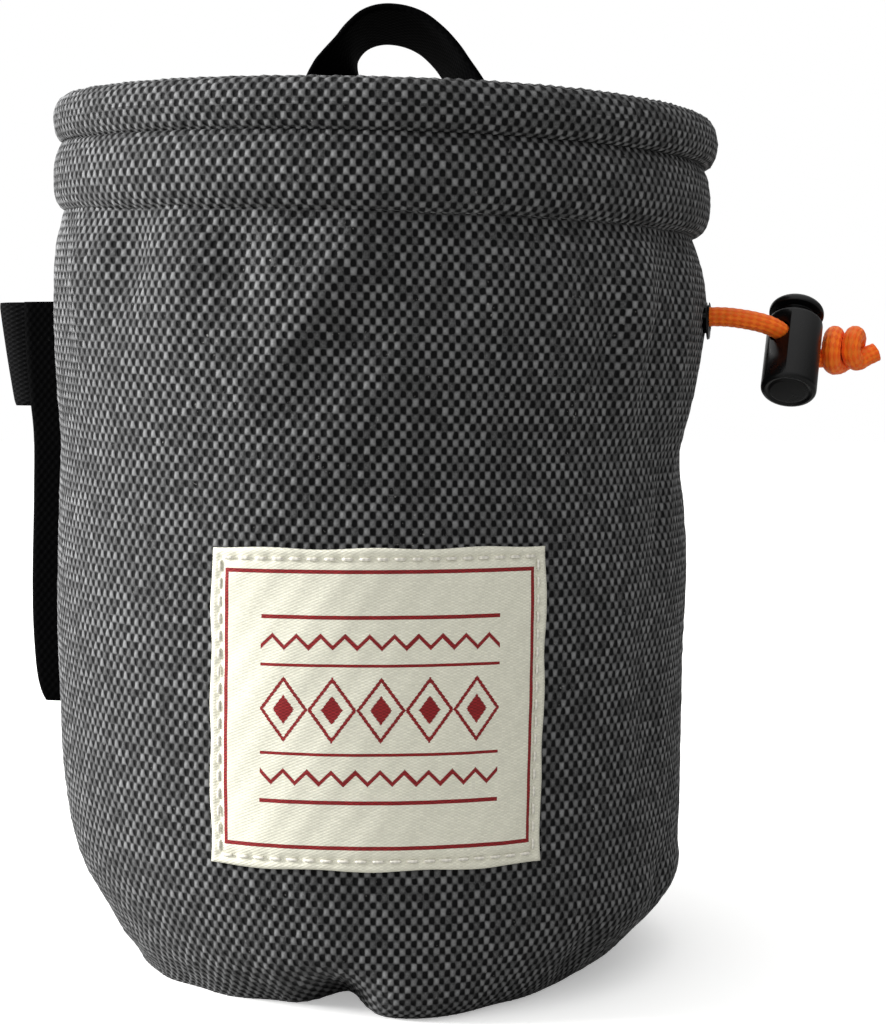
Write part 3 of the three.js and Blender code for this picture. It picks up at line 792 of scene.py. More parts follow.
def tubePoints(line, radius, angles):
    # rings across the line that turn as little as they can along it
    tangents = unit(np.gradient(line, axis=0))
    side = np.cross(tangents[0], (0.0, 0.0, 1.0))
    sides = []
    for tangent in tangents:
        side = unit(side - tangent * np.dot(side, tangent))
        sides.append(side)
    sides = np.array(sides)
    others = np.cross(tangents, sides)
    reach = np.broadcast_to(radius, (len(line), len(angles)))[..., None]
    cosines = np.cos(angles)[None, :, None]
    sines = np.sin(angles)[None, :, None]
    return line[:, None] + sides[:, None] * (cosines * reach) + others[:, None] * (sines * reach), tangents


def braidedTube(name, line, places, radius, node):
    count = cordSizes["sides"]
    # the two sets of strands run round the cord in opposite ways
    around = cordSizes["carriers"] * np.arange(count + 1) / count
    along = (places / cordSizes["pitch"] * 2)[:, None]
    first = around[None, :] + along
    second = around[None, :] - along
    braid = (np.cos(np.pi * first) * np.cos(np.pi * second))[:, :count]
    turn = 2 * np.pi * np.arange(count) / count
    points, tangents = tubePoints(line, radius + cordSizes["relief"] * (braid - 1), turn)
    rows = len(line)
    faces, corner = gridFaces(rows, count, True)
    column, row = corner.astype(int).T
    cells = np.stack([first[row, column], second[row, column]], -1)
    faces = faces[:, ::-1].tolist()
    cells = cells.reshape(-1, 4, 2)[:, ::-1].reshape(-1, 2).tolist()
    points = points.reshape(-1, 3).tolist()
    # short blunt caps, so that a melted end shows
    for ring, sense in ((0, 1), (rows - 1, -1)):
        centre = len(points)
        points.append((line[ring] - tangents[ring] * sense * radius * cordSizes["capHeight"]).tolist())
        for index in range(count):
            a = ring * count + index
            b = ring * count + (index + 1) % count
            faces.append([centre, a, b][::sense])
            cells.extend([[0, 0], [cordSizes["capCell"], 0], [0, cordSizes["capCell"]]])
    return makePiece(name, points, faces, cordBraid, cells, node)


cordLine, cordPlaces = evenCurve(cordRoute, cordSizes["step"])
drawCord = braidedTube("drawCord", cordLine, cordPlaces, cordSizes["diameter"] / 2, "drawcord")
print("draw cord made")

# Body cloth: the weave's rows run from the foot to the collar
bodyCloth = {
    "fineSteps": 600,
    "measuredAt": -70,
    "insideRows": 40,
    "insideStep": 2,
    "insideLowest": 0.03,
    "footRings": (0, 0.3, 0.65, 1),
    "footLift": 0.02,
}


def buildBody():
    columns = weave["columns"]
    azimuth = 360 * np.arange(columns) / columns
    fine = np.linspace(0, 1, bodyCloth["fineSteps"])
    seat = bag["seatGap"] / 2
    outline = np.stack([packedRadius(bodyCloth["measuredAt"], fine), fine * (bodyTop(-90) - seat)], -1)
    heights = evenRows(outline, weave["rowPitch"])
    level, turn = np.meshgrid(heights, azimuth, indexing="ij")
    woven = addRelief(polar(turn, clothRadius(turn, level), level * (bodyTop(turn) - seat)))
    woven[..., 2] = np.maximum(woven[..., 2], 0)
    faces, cells = gridFaces(len(heights), columns, True)

    # the turned-in foot, then up the inside and over the top edge
    step = bodyCloth["insideStep"]
    turnIn = azimuth[::step]
    foot = bag["baseRadius"] + bag["seatGap"]
    thickness = bag["clothThickness"]
    top = bodyTop(turnIn) - seat
    rings = [polar(turnIn, clothRadius(turnIn, 0) * (1 - share) + foot * share, bodyCloth["footLift"])
             for share in bodyCloth["footRings"]]
    rings.append(polar(turnIn, foot, thickness))
    for height in np.linspace(bodyCloth["insideLowest"], 1, bodyCloth["insideRows"]):
        rings.append(polar(turnIn, clothRadius(turnIn, height) - thickness, np.maximum(height * top, thickness)))
    rings.append(polar(turnIn, clothRadius(turnIn, 1.0), top))
    innerFaces, innerCells = gridFaces(len(rings), len(turnIn), True)
    innerFaces = innerFaces[:, ::-1] + woven[..., 0].size
    innerCells = innerCells.reshape(-1, 4, 2)[:, ::-1].reshape(-1, 2) * (step, 2)
    allPoints = np.vstack([woven.reshape(-1, 3), np.array(rings).reshape(-1, 3)])
    piece = makePiece("bodyCloth", allPoints, np.vstack([faces, innerFaces]), bagCloth,
                      np.vstack([cells, innerCells]), "body_shell")
    piece.data.materials.append(liningCloth)
    inside = np.zeros(len(piece.data.polygons), np.int32)
    inside[len(faces) + len(bodyCloth["footRings"]) * len(turnIn):] = 1
    piece.data.polygons.foreach_set("material_index", inside)


buildBody()
print("body cloth made")

# The outlines of the rolled rim and the collar: outward and upward, as shares of their sizes
rollOutline = [
    (1.00, 0.50), (0.93, 0.76), (0.74, 0.94), (0.48, 1.00), (0.20, 0.92), (0.00, 0.66),
    (0.00, 0.32), (0.20, 0.07), (0.48, 0.00), (0.78, 0.06), (0.94, 0.24),
]
collarOutline = [
    (0.48, 0.00), (0.84, 0.12), (0.99, 0.32), (1.00, 0.55), (0.86, 0.84), (0.56, 1.00),
    (0.00, 1.00), (0.00, 0.50), (0.00, 0.00),
]
bandSteps = 60


def buildBand(name, outline, sides, thickness, height, foot, firstRow, node):
    columns = weave["columns"]
    azimuth = 360 * np.arange(columns) / columns
    ring = np.array(outline + outline[:1])
    # soften the outline's corners, then place the weave's rows along it
    closed = np.vstack([ring[-2], ring, ring[1]]) * (thickness, height)
    fine = centripetalCurve(np.column_stack([closed, np.zeros(len(closed))]), bandSteps * len(closed))
    fine = fine[bandSteps:-bandSteps, :2]
    shares = evenRows(fine, weave["rowPitch"])
    if len(shares) % 2 == 0:
        shares = np.linspace(0, 1, len(shares) + 1)
    places = np.stack([np.interp(shares, np.linspace(0, 1, len(fine)), fine[:, axis]) for axis in (0, 1)], -1)
    radius = sideRadius(sides, azimuth)
    low = foot(azimuth)
    rings = [polar(azimuth, radius - thickness + out, low + up) for out, up in places[:-1]]
    points = addRelief(np.array(rings), firstRow)
    faces, cells = gridFaces(len(rings) + 1, columns, True)
    makePiece(name, points.reshape(-1, 3), faces % (len(rings) * columns), bagCloth, cells + (0, firstRow),
              node)


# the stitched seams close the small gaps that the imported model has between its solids
buildBand("rimRoll", rollOutline, rollSides, bag["rollThickness"], bag["rollHeight"] + bag["seamPress"],
          lambda turn: rollFoot(turn) - bag["seamPress"], 0, "rim_hem")
buildBand("collarBand", collarOutline, collarSides, bag["collarThickness"] + bag["collarLap"],
          bag["collarHeight"] + bag["seamPress"], lambda turn: bodyTop(turn) - bag["seamPress"], 1, "collar_band")
print("rim and collar made")


# The base's rings: outward and upward, as shares of its radius and thickness
basePanel = {
    "sides": 96,
    "columnPitch": 0.95,
}
baseOutline = [
    (0.02, 0.0), (0.35, 0.0), (0.7, 0.0), (0.93, 0.0), (0.985, 0.1), (1.0, 0.5), (0.985, 0.9),
    (0.93, 1.0), (0.7, 1.0), (0.35, 1.0), (0.02, 1.0),
]


def buildBase():
    sides = basePanel["sides"]
    azimuth = 360 * np.arange(sides) / sides
    rings = [polar(azimuth, bag["baseRadius"] * out, bag["baseThickness"] * up) for out, up in baseOutline]
    points = np.array(rings).reshape(-1, 3)
    faces = gridFaces(len(rings), sides, True)[0].tolist()
    faces.append(list(range(sides))[::-1])
    faces.append(list(range(len(points) - sides, len(points))))
    corners = points[np.concatenate(faces)]
    makePiece("basePanel", points, faces, bagCloth, corners[:, :2] / (basePanel["columnPitch"], weave["rowPitch"]),
              "base_panel")


buildBase()
print("base made")

# The label, with its woven ornament and the stitches round it
label = {
    "width": 55.0,
    "height": 51.0,
    "bottom": 25.3,
    "azimuth": -90.7,
    "lean": 0.016,
    "thickness": 0.9,
    "gap": 0.25,
    "across": 150,
    "rows": 140,
    "frameAcross": 24.7,
    "frameUp": 21.9,
    "frameLine": 0.62,
    "stitchInset": 1.6,
    "stitchPitch": 2.75,
    "stitchLength": 1.9,
    "stitchWidth": 0.52,
    "cream": (0.765, 0.75, 0.63),
    # painted shade: this darker cream colours the dips of the label's weave, where its threads pass under
    "creamPaintedShade": (0.70, 0.682, 0.565),
    "red": (0.27, 0.012, 0.014),
    "threadColor": (0.82, 0.79, 0.70),
    # painted shade: the shares by which the stitch thread and the red are darker where their threads dip
    "threadPaintedShade": 0.75,
    "redPaintedShade": 0.6,
    "overSize": 0.7,
    # painted shade and highlight on the tops of the cream and the red threads
    "creamPaintedDome": 0.1,
    "creamUneven": 0.16,
    "redPaintedDome": 0.2,
    "redUneven": 0.3,
    "weaveScale": (1.8, 4.1),
    "fading": 0.12,
    "lint": 0.05,
    "rough": (0.82, 0.7),
    "specular": 0.25,
    "sheen": 0.05,
    "redHeight": 0.6,
    "bumpDistance": 0.00012,
    "bumpStrength": 0.6,
}

# How far the label's face leaves a flat sheet, in millimetres
labelForm = {
    "edgeRadius": 0.8,
    "edgeHeight": 0.62,
    "seamDepth": 0.30,
    "seamWidth": 0.75,
    "billow": 0.09,
    "billowAcross": (0.33, 0.8),
    "billowUp": (0.27, 0.3),
    "ripple": 0.035,
    "rippleAcross": 1.1,
    "rippleUp": 0.8,
    "sideWave": 0.14,
    "sideTurns": (0.42, 1.0),
    "endWave": 0.16,
    "endTurns": (0.36, 2.0),
    "dimpleDepth": 0.22,
    "dimpleArea": 0.35,
    "backShare": 0.2,
}


def labelSurface(across, up, lift):
    # across and up in millimetres from the label's middle
    middle = packedRadius(label["azimuth"], (label["bottom"] + label["height"] / 2) / bodyTop(label["azimuth"]))
    azimuth = label["azimuth"] + np.degrees((np.asarray(across) + label["lean"] * np.asarray(up)) / middle)
    z = label["bottom"] + label["height"] / 2 + np.asarray(up)
    radius = clothRadius(azimuth, z / bodyTop(azimuth)) + label["gap"] + lift
    return polar(azimuth, radius, z)


def stitchPlaces():
    x = label["width"] / 2 - label["stitchInset"]
    y = label["height"] / 2 - label["stitchInset"]
    corners = [(-x, -y), (x, -y), (x, y), (-x, y)]
    for first, last in zip(corners, corners[1:] + corners[:1]):
        count = round(math.dist(first, last) / label["stitchPitch"])
        rise, run = last[1] - first[1], last[0] - first[0]
        for index in range(count):
            share = (index + 0.5) / count
            yield first[0] + run * share, first[1] + rise * share, math.atan2(rise, run)


def slowWave(place, turns):
    rate, start = turns
    return np.sin(rate * place + start)


def buildLabel():
    halfWidth = label["width"] / 2
    halfHeight = label["height"] / 2
    x = np.linspace(-halfWidth, halfWidth, label["across"] + 1)
    y = np.linspace(-halfHeight, halfHeight, label["rows"] + 1)
    up, across = np.meshgrid(y, x, indexing="ij")
    edge = np.minimum(halfWidth - np.abs(across), halfHeight - np.abs(up))
    rounding = np.sqrt(np.clip(edge / labelForm["edgeRadius"], 0, 1))
    lift = label["thickness"] * (labelForm["edgeHeight"] + (1 - labelForm["edgeHeight"]) * rounding)
    # the seam pulls the label down along its stitches
    fromSeam = (edge - label["stitchInset"]) / labelForm["seamWidth"]
    lift -= labelForm["seamDepth"] * np.exp(-fromSeam ** 2)
    # the cloth isn't quite flat, and its edges aren't quite straight
    lift += labelForm["billow"] * slowWave(across, labelForm["billowAcross"]) * slowWave(up, labelForm["billowUp"])
    lift += labelForm["ripple"] * np.sin(labelForm["rippleAcross"] * across - labelForm["rippleUp"] * up)
    across = across + labelForm["sideWave"] * slowWave(up, labelForm["sideTurns"]) * across / halfWidth
    up = up + labelForm["endWave"] * slowWave(across, labelForm["endTurns"]) * up / halfHeight
    # each needle hole is a dimple between two stitches
    reach = label["stitchPitch"] / 2
    for stitchX, stitchY, angle in stitchPlaces():
        holeX = stitchX + reach * math.cos(angle)
        holeY = stitchY + reach * math.sin(angle)
        near = (across - holeX) ** 2 + (up - holeY) ** 2
        lift -= labelForm["dimpleDepth"] * np.exp(-near / labelForm["dimpleArea"])
    front = labelSurface(across, up, lift)
    back = labelSurface(across, up, -label["gap"] * labelForm["backShare"])
    sheetPiece("bagLabel", front, back, np.stack([across, up], -1), labelCloth, "front_label")


# Half of the ornament, from the label's middle outward, in millimetres
ornament = {
    "thread": 0.16,
    "reach": 19.0,
    "lozengePitch": 7.6,
    "lozengeHeight": 5.2,
    "outlineAt": 0.93,
    "outlineHalf": 0.085,
    "coreSize": 0.45,
    "innerRule": 7.0,
    "innerRuleHalf": 0.22,
    "outerRule": 14.6,
    "outerRuleHalf": 0.30,
    "zigzagAt": 9.8,
    "zigzagRise": 1.9,
    "zigzagHalf": 0.42,
}


def buildOrnament():
    # a frame line, a row of nested lozenges between thin rules, and a zigzag above and below
    group, start, end = newGroup("WovenOrnament", [
        ("Place", "NodeSocketVector", None),
        ("Frame Across", "NodeSocketFloat", label["frameAcross"]),
        ("Frame Up", "NodeSocketFloat", label["frameUp"]),
        ("Frame Line", "NodeSocketFloat", label["frameLine"]),
    ], [("Mask", "NodeSocketFloat")])

    def combine(operation, first, second):
        return addMath(group, operation, first, second)

    def lineAt(value, middle, half):
        away = addMath(group, "ABSOLUTE", combine("SUBTRACT", value, middle))
        return combine("LESS_THAN", away, half)

    snap = group.nodes.new("ShaderNodeVectorMath")
    snap.operation = "SNAP"
    snap.inputs[1].default_value = (ornament["thread"], ornament["thread"], 1)
    group.links.new(start.outputs["Place"], snap.inputs[0])
    split = group.nodes.new("ShaderNodeSeparateXYZ")
    group.links.new(snap.outputs[0], split.inputs[0])
    across = addMath(group, "ABSOLUTE", split.outputs[0])
    up = addMath(group, "ABSOLUTE", split.outputs[1])
    box = combine("MAXIMUM", combine("SUBTRACT", across, start.outputs["Frame Across"]),
                  combine("SUBTRACT", up, start.outputs["Frame Up"]))
    frameLine = lineAt(box, 0.0, combine("MULTIPLY", start.outputs["Frame Line"], 0.5))
    half = ornament["lozengePitch"] / 2
    fromMiddle = combine("SUBTRACT", half, combine("PINGPONG", combine("ADD", across, half), half))
    lozenge = combine("ADD", combine("DIVIDE", fromMiddle, half), combine("DIVIDE", up, ornament["lozengeHeight"]))
    wave = combine("PINGPONG", across, ornament["zigzagRise"])
    pattern = combine("LESS_THAN", lozenge, ornament["coreSize"])
    for line in (lineAt(lozenge, ornament["outlineAt"], ornament["outlineHalf"]),
                 lineAt(up, ornament["innerRule"], ornament["innerRuleHalf"]),
                 lineAt(up, ornament["outerRule"], ornament["outerRuleHalf"]),
                 lineAt(combine("SUBTRACT", up, ornament["zigzagAt"]), wave, ornament["zigzagHalf"])):
        pattern = combine("MAXIMUM", pattern, line)
    inside = combine("LESS_THAN", across, ornament["reach"])
    mask = combine("MAXIMUM", frameLine, combine("MULTIPLY", pattern, inside))
    group.links.new(mask, end.inputs["Mask"])
    return group


def buildLabelCloth():
    material, tree, shader = newMaterial("labelCloth")
    cells = cellCoordinates(tree, label["weaveScale"])

    def threads(over, under, paintedDomeShade, unevenness):
        return useGroup(tree, plainWeave, {
            "Cells": cells,
            "Over Color": (*over, 1),
            "Under Color": (*under, 1),
            "Over Size": label["overSize"],
            "Painted Dome Shade": paintedDomeShade,
            "Unevenness": unevenness,
        })

    # the red with painted shade, for the dips of the red weave
    redPaintedShade = [value * label["redPaintedShade"] for value in label["red"]]
    woven = threads(label["cream"], label["creamPaintedShade"], label["creamPaintedDome"], label["creamUneven"])
    redWeave = threads(label["red"], redPaintedShade, label["redPaintedDome"], label["redUneven"])
    mask = useGroup(tree, buildOrnament(), {"Place": cellCoordinates(tree)}).outputs["Mask"]
    toned = useGroup(tree, clothTone, {
        "Color": addMix(tree, mask, woven.outputs["Color"], redWeave.outputs["Color"]),
        "Place": tree.nodes.new("ShaderNodeTexCoord").outputs["Object"],
        "Fading": label["fading"],
        "Lint": label["lint"],
    })
    tree.links.new(toned.outputs["Color"], shader.inputs["Base Color"])
    tree.links.new(addRange(tree, mask, 0, 1, *label["rough"]), shader.inputs["Roughness"])
    shader.inputs["Specular IOR Level"].default_value = label["specular"]
    shader.inputs["Sheen Weight"].default_value = label["sheen"]
    height = addMath(tree, "MULTIPLY_ADD", mask, label["redHeight"], woven.outputs["Height"])
    addBump(tree, shader, height, label["bumpDistance"], label["bumpStrength"])
    return material


labelCloth = buildLabelCloth()
labelThread = clothMaterial("labelThread", {
    "scale": (1, 1),
    "over": label["threadColor"],
    # the thread with painted shade, for the dips of its plies
    "under": tuple(value * label["threadPaintedShade"] for value in label["threadColor"]),
    "overSize": 0.7,
    "softness": 0.2,
    "paintedDomeShade": 0.2,
    "uneven": 0.15,
    "fading": 0.1,
    "lint": 0.0,
    "rough": 0.6,
    "specular": 0.35,
    "sheen": 0.05,
    "bumpDistance": 0.00005,
    "bumpStrength": 0.5,
})
buildLabel()

# A stitch is a short bowed strand that dips into the cloth at both ends
stitch = {
    "sides": 8,
    "steps": 8,
    "sunk": 0.38,
    "bow": 0.30,
    "ahead": 0.05,
    "endWidth": 0.35,
    "flatness": 0.8,
    "cellsAround": 3,
    "cellsAlong": 2.4,
    "cellWidth": 0.4,
    "cellLength": 0.3,
}


def buildStitches():
    sides, steps = stitch["sides"], stitch["steps"]
    points = []
    faces = []
    cells = []
    for across, up, angle in stitchPlaces():
        first = len(points)
        cosine, sine = math.cos(angle), math.sin(angle)
        for step in range(steps + 1):
            share = step / steps * 2 - 1
            offset = share * label["stitchLength"] / 2
            bow = math.sqrt(max(0.0, 1 - share ** 4))
            lift = label["thickness"] - stitch["sunk"] + stitch["bow"] * bow
            x = across + offset * cosine
            y = up + offset * sine
            centre = labelSurface(x, y, lift)
            along = unit(labelSurface(x + stitch["ahead"] * cosine, y + stitch["ahead"] * sine, lift) - centre)
            outward = unit(labelSurface(x, y, lift + 1) - centre)
            beside = np.cross(along, outward)
            radius = label["stitchWidth"] / 2 * (stitch["endWidth"] + (1 - stitch["endWidth"]) * bow)
            for turn in 2 * np.pi * np.arange(sides) / sides:
                points.append(centre + beside * radius * math.cos(turn)
                              + outward * radius * stitch["flatness"] * math.sin(turn))
        for step in range(steps):
            for side in range(sides):
                a = first + step * sides + side
                b = first + step * sides + (side + 1) % sides
                faces.append([a, b, b + sides, a + sides])
                # the strand's two plies run slantwise round it
                for besideCell, aheadCell in ((0, 0), (1, 0), (1, 1), (0, 1)):
                    u = stitch["cellsAround"] * side / sides + stitch["cellWidth"] * besideCell
                    v = stitch["cellsAlong"] * step / steps + stitch["cellLength"] * aheadCell
                    cells.append((u + v, u - v))
        faces.append(list(range(first, first + sides))[::-1])
        faces.append(list(range(first + steps * sides, first + (steps + 1) * sides)))
        cells.extend([(0, 0)] * (2 * sides))
    makePiece("labelStitches", points, faces, labelThread, cells)


buildStitches()
print("label made")

# The carry loop: both feet lie against the rim and the collar
carryLoop = {
    "webbing": 20.0,
    "thickness": 1.5,
    "centre": 4.0,
    "spread": 13.5,
    "rise": 29.0,
    "lean": 14.0,
    "footLength": 17.0,
    "steps": 150,
    "edge": 0.55,
    "smoothing": 9,
}

# across as shares of spread, up as shares of rise, and the turn of the strap's width
loopPath = [
    (-1.00, 0.00, 9), (-0.99, 0.27, 22), (-0.96, 0.48, 33), (-0.94, 0.62, 54), (-0.91, 0.74, 78),
    (-0.81, 0.87, 87), (-0.62, 0.965, 89), (-0.35, 1.01, 90), (-0.03, 1.00, 91), (0.28, 0.94, 92),
    (0.55, 0.83, 93), (0.76, 0.695, 95), (0.89, 0.54, 101), (0.96, 0.35, 120), (0.99, 0.16, 145),
    (1.00, 0.00, 163),
]


def loopLine():
    standOff = bag["clothGap"] + carryLoop["thickness"] / 2
    lean = math.tan(math.radians(carryLoop["lean"]))
    points = []
    turns = []

    def addFoot(across, order, isRight):
        place = carryLoop["centre"] + carryLoop["spread"] * across
        azimuth = math.degrees(math.acos(place / bag["rimRadius"]))
        radius = max(sideRadius(rollSides, azimuth), sideRadius(collarSides, azimuth)) + standOff
        for step in order:
            points.append(polar(azimuth, radius, float(rimTop(azimuth)) - carryLoop["footLength"] * step / 3))
            turns.append(azimuth - 90 + (180 if isRight else 0))

    addFoot(loopPath[0][0], (3, 2, 1, 0), False)
    backLine = float(rimTop(90))
    backRadius = sideRadius(rollSides, 90) + standOff
    for across, up, turn in loopPath[1:-1]:
        rise = carryLoop["rise"] * up
        x = carryLoop["centre"] + carryLoop["spread"] * across
        points.append(np.array([x, math.sqrt(backRadius ** 2 - x ** 2) + lean * rise, backLine + rise]))
        turns.append(turn)
    addFoot(loopPath[-1][0], (0, 1, 2, 3), True)
    return np.array(points), np.array(turns, float)


def strapRing(width, thickness, edge, across=24):
    # a flat section with rounded edges, running anticlockwise: place over the width, and height
    half = width / 2
    x = np.linspace(-half + edge, half - edge, across)
    top = [(value, thickness / 2) for value in x[::-1]]
    bottom = [(value, -thickness / 2) for value in x]

    def rounded(middle, angles):
        return [(middle + edge * math.cos(angle), thickness / 2 * math.sin(angle))
                for angle in np.radians(angles)]

    left = rounded(-half + edge, [120, 150, 180, 210, 240])
    right = rounded(half - edge, [-60, -30, 0, 30, 60])
    return np.array(bottom + right + top + left)


def buildCarryLoop():
    points, turns = loopLine()
    steps = carryLoop["steps"]
    line = centripetalCurve(points, steps + 1)
    tangents = unit(np.gradient(line, axis=0))
    place = np.linspace(0, len(turns) - 1, steps + 1)
    turn = np.radians(np.interp(place, np.arange(len(turns)), turns))
    # the twist runs smoothly from one foot to the other
    kernel = np.hanning(carryLoop["smoothing"])
    turn = np.convolve(np.pad(turn, len(kernel) // 2, mode="edge"), kernel / kernel.sum(), mode="valid")
    lean = math.radians(carryLoop["lean"])
    back = np.array([0, math.cos(lean), -math.sin(lean)])
    wide = np.cos(turn)[:, None] * np.array([1.0, 0, 0]) + np.sin(turn)[:, None] * back
    wide = unit(wide - tangents * np.sum(wide * tangents, axis=1, keepdims=True))
    thick = np.cross(tangents, wide)
    ring = strapRing(carryLoop["webbing"], carryLoop["thickness"], carryLoop["edge"])
    shape = line[:, None] + wide[:, None] * ring[None, :, 0, None] + thick[:, None] * ring[None, :, 1, None]
    rows, size = shape.shape[:2]
    faces, corner = gridFaces(rows, size, True)
    column, row = corner.astype(int).T
    cells = np.stack([ring[column % size, 0], lengthAlong(line)[row]], -1).reshape(-1, 4, 2)
    faces = faces[:, ::-1].tolist()
    cells = cells[:, ::-1].reshape(-1, 2).tolist() + [(0, 0)] * (2 * size)
    faces.append(list(range(size)))
    faces.append(list(range((rows - 1) * size, rows * size))[::-1])
    makePiece("carryLoop", shape.reshape(-1, 3), faces, webbingCloth, cells, "carry_loop")


buildCarryLoop()
print("carry loop made")

# The side seam's tape and the elastic brush loop
seam = {
    "azimuth": 168.0,
    "tapeDrop": 16.1,
    "tapeLength": 76.5,
    "tapeReach": 9.5,
    "tapeThickness": 2.0,
    "loopHeight": 20.0,
    "loopReach": 17.0,
    "loopGap": 8.0,
    "loopThickness": 1.3,
    "loopTaper": 2.5,
    "tapeRows": 120,
    "tapeColumns": 18,
    "foldFrom": 0.86,
    "foldFlatness": 0.9,
    "endThickness": 0.75,
    "endLength": 0.02,
    "loopRows": 41,
    "loopSteps": 14,
    "bendSteps": 25,
    "boundWidth": 0.04,
    "boundThinner": 0.25,
}
tapeTop = float(bodyTop(seam["azimuth"])) - seam["tapeDrop"]
tapeOutline = [
    (0.00, 0.66), (0.02, 0.74), (0.06, 0.82), (0.14, 0.86), (0.30, 0.88), (0.50, 0.88),
    (0.70, 0.93), (0.86, 0.98), (1.00, 1.00),
]


def seamPoint(outward, backward, z):
    angle = math.radians(seam["azimuth"])
    along = np.array([math.sin(angle), -math.cos(angle), 0])
    out = np.array([math.cos(angle), math.sin(angle), 0])
    outward, backward, z = np.broadcast_arrays(outward, backward, z)
    return outward[..., None] * out + backward[..., None] * along + z[..., None] * np.array([0, 0, 1.0])


def seamSkin(z):
    return packedRadius(seam["azimuth"], z / bodyTop(seam["azimuth"])) + bag["clothGap"]


def buildTape():
    keys, reaches = zip(*tapeOutline)
    up = np.linspace(0, 1, seam["tapeRows"])
    share = np.linspace(0, 1, seam["tapeColumns"])
    z = tapeTop - seam["tapeLength"] * (1 - up)
    outward = seamSkin(z)[:, None] + seam["tapeReach"] * smoothTable(keys, reaches, up)[:, None] * share[None, :]
    height = np.broadcast_to(z[:, None], outward.shape)
    middle = -(seam["tapeThickness"] + bag["seatGap"]) / 2
    # the folded outer edge is round, and the tape is pressed thin at its cut ends
    fold = np.clip((share - seam["foldFrom"]) / (1 - seam["foldFrom"]), 0, 1) ** 2
    half = seam["tapeThickness"] / 2 * np.sqrt(1 - fold * seam["foldFlatness"])
    ends = np.clip(np.minimum(up, 1 - up) / seam["endLength"], 0, 1)
    half = half[None, :] * (seam["endThickness"] + (1 - seam["endThickness"]) * ends)[:, None]
    front = seamPoint(outward, middle - half, height)
    back = seamPoint(outward, middle + half, height)
    places = np.stack([outward, height], -1)
    sheetPiece("seamTape", front[:, ::-1], back[:, ::-1], places[:, ::-1], webbingCloth, "side_tape")


def buildBrushLoop():
    inside = seam["loopGap"] / 2
    thickness = seam["loopThickness"]
    outside = inside + thickness
    middle = bag["seatGap"] / 2 + outside
    arc = np.linspace(-math.pi / 2, math.pi / 2, seam["bendSteps"])
    steps = seam["loopSteps"]
    front = []
    back = []
    places = []
    for up in np.linspace(0, 1, seam["loopRows"]):
        z = tapeTop - seam["loopHeight"] * (1 - up)
        skin = float(seamSkin(z))
        turnCentre = skin + seam["loopReach"] - seam["loopTaper"] * (1 - up) - outside
        endRadius = math.sqrt(skin ** 2 - (middle + outside) ** 2)
        slope = (middle + outside) / endRadius
        # both edges of the band are bound a little thinner
        bound = max(0.0, 1 - min(up, 1 - up) / seam["boundWidth"])
        thinner = seam["boundThinner"] * thickness * bound / 2
        for sheet, radius, end in ((front, outside - thinner, endRadius),
                                   (back, inside + thinner, endRadius + slope * thickness)):
            first = seamPoint(np.linspace(skin, turnCentre, steps)[:-1], middle - radius, z)
            bend = seamPoint(turnCentre + radius * np.cos(arc), middle + radius * np.sin(arc), z)
            last = seamPoint(np.linspace(turnCentre, end, steps)[1:], middle + radius, z)
            sheet.append(np.vstack([first, bend, last]))
        length = lengthAlong(front[-1])
        places.append(np.stack([length, np.full(len(length), seam["loopHeight"] * up)], -1))
    sheetPiece("brushLoop", np.array(front)[:, ::-1], np.array(back)[:, ::-1], np.array(places)[:, ::-1],
               elasticCloth, "brush_loop")


buildTape()
buildBrushLoop()
print("side tape and brush loop made")

# The eyelet, the cord lock and its plunger are turned shapes on their own axes
lock = {
    "radius": 4.9,
    "length": 15.6,
    "wall": 1.3,
    "floor": 2.0,
    "edge": 0.6,
    "leanRight": 14.0,
    "leanBack": 35.0,
    "cordHeight": 11.2,
    "routePoint": 9,
    "neck": 1.7,
    "head": 2.3,
    "travel": 1.4,
    "play": 0.35,
    "sides": 72,
}
eyelet = {
    "azimuth": -14.0,
    "drop": 15.3,
    "radius": 2.9,
    "flange": 0.55,
    "slopeFrom": 0.6,
    "slopeReach": 0.5,
    "lipDrop": 1.0,
    "wall": 0.5,
    "play": 0.35,
    "sides": 48,
}
cordWay = {
    "clearance": 0.35,
    "sides": 24,
    "steps": 60,
    "plungerStops": (0, 0.25, 0.5, 0.75, 1),
}
axisHole = 0.05

# inward from the barrel's side, upward, and the corner's rounding
barrelEnd = [(1.6, 0.0, 0.3), (1.35, 0.25, 0.2), (0.9, 0.0, 0.2), (0.0, 0.0, 0.8)]

# shares of the lock's radius and of the head's height, and the corner's rounding
plungerHead = [(1.0, 0.0, 0.3), (1.0, 0.45, 0.4), (0.86, 0.8, 0.5), (0.5, 1.0, 0.6)]


def axesAlong(direction):
    direction = unit(np.asarray(direction, float))
    side = unit(np.cross((0.0, 0.0, 1.0), direction))
    return side, np.cross(direction, side), direction


def turnedPiece(name, outline, origin, direction, sides, node, body="root"):
    side, other, axis = axesAlong(direction)
    angle = 2 * np.pi * np.arange(sides) / sides
    rings = [origin + axis * height + side * (radius * np.cos(angle))[:, None]
             + other * (radius * np.sin(angle))[:, None] for radius, height in outline]
    faces, cells = gridFaces(len(outline), sides, True)
    return makePiece(name, np.array(rings).reshape(-1, 3), faces, lockPlastic, cells, node, body)


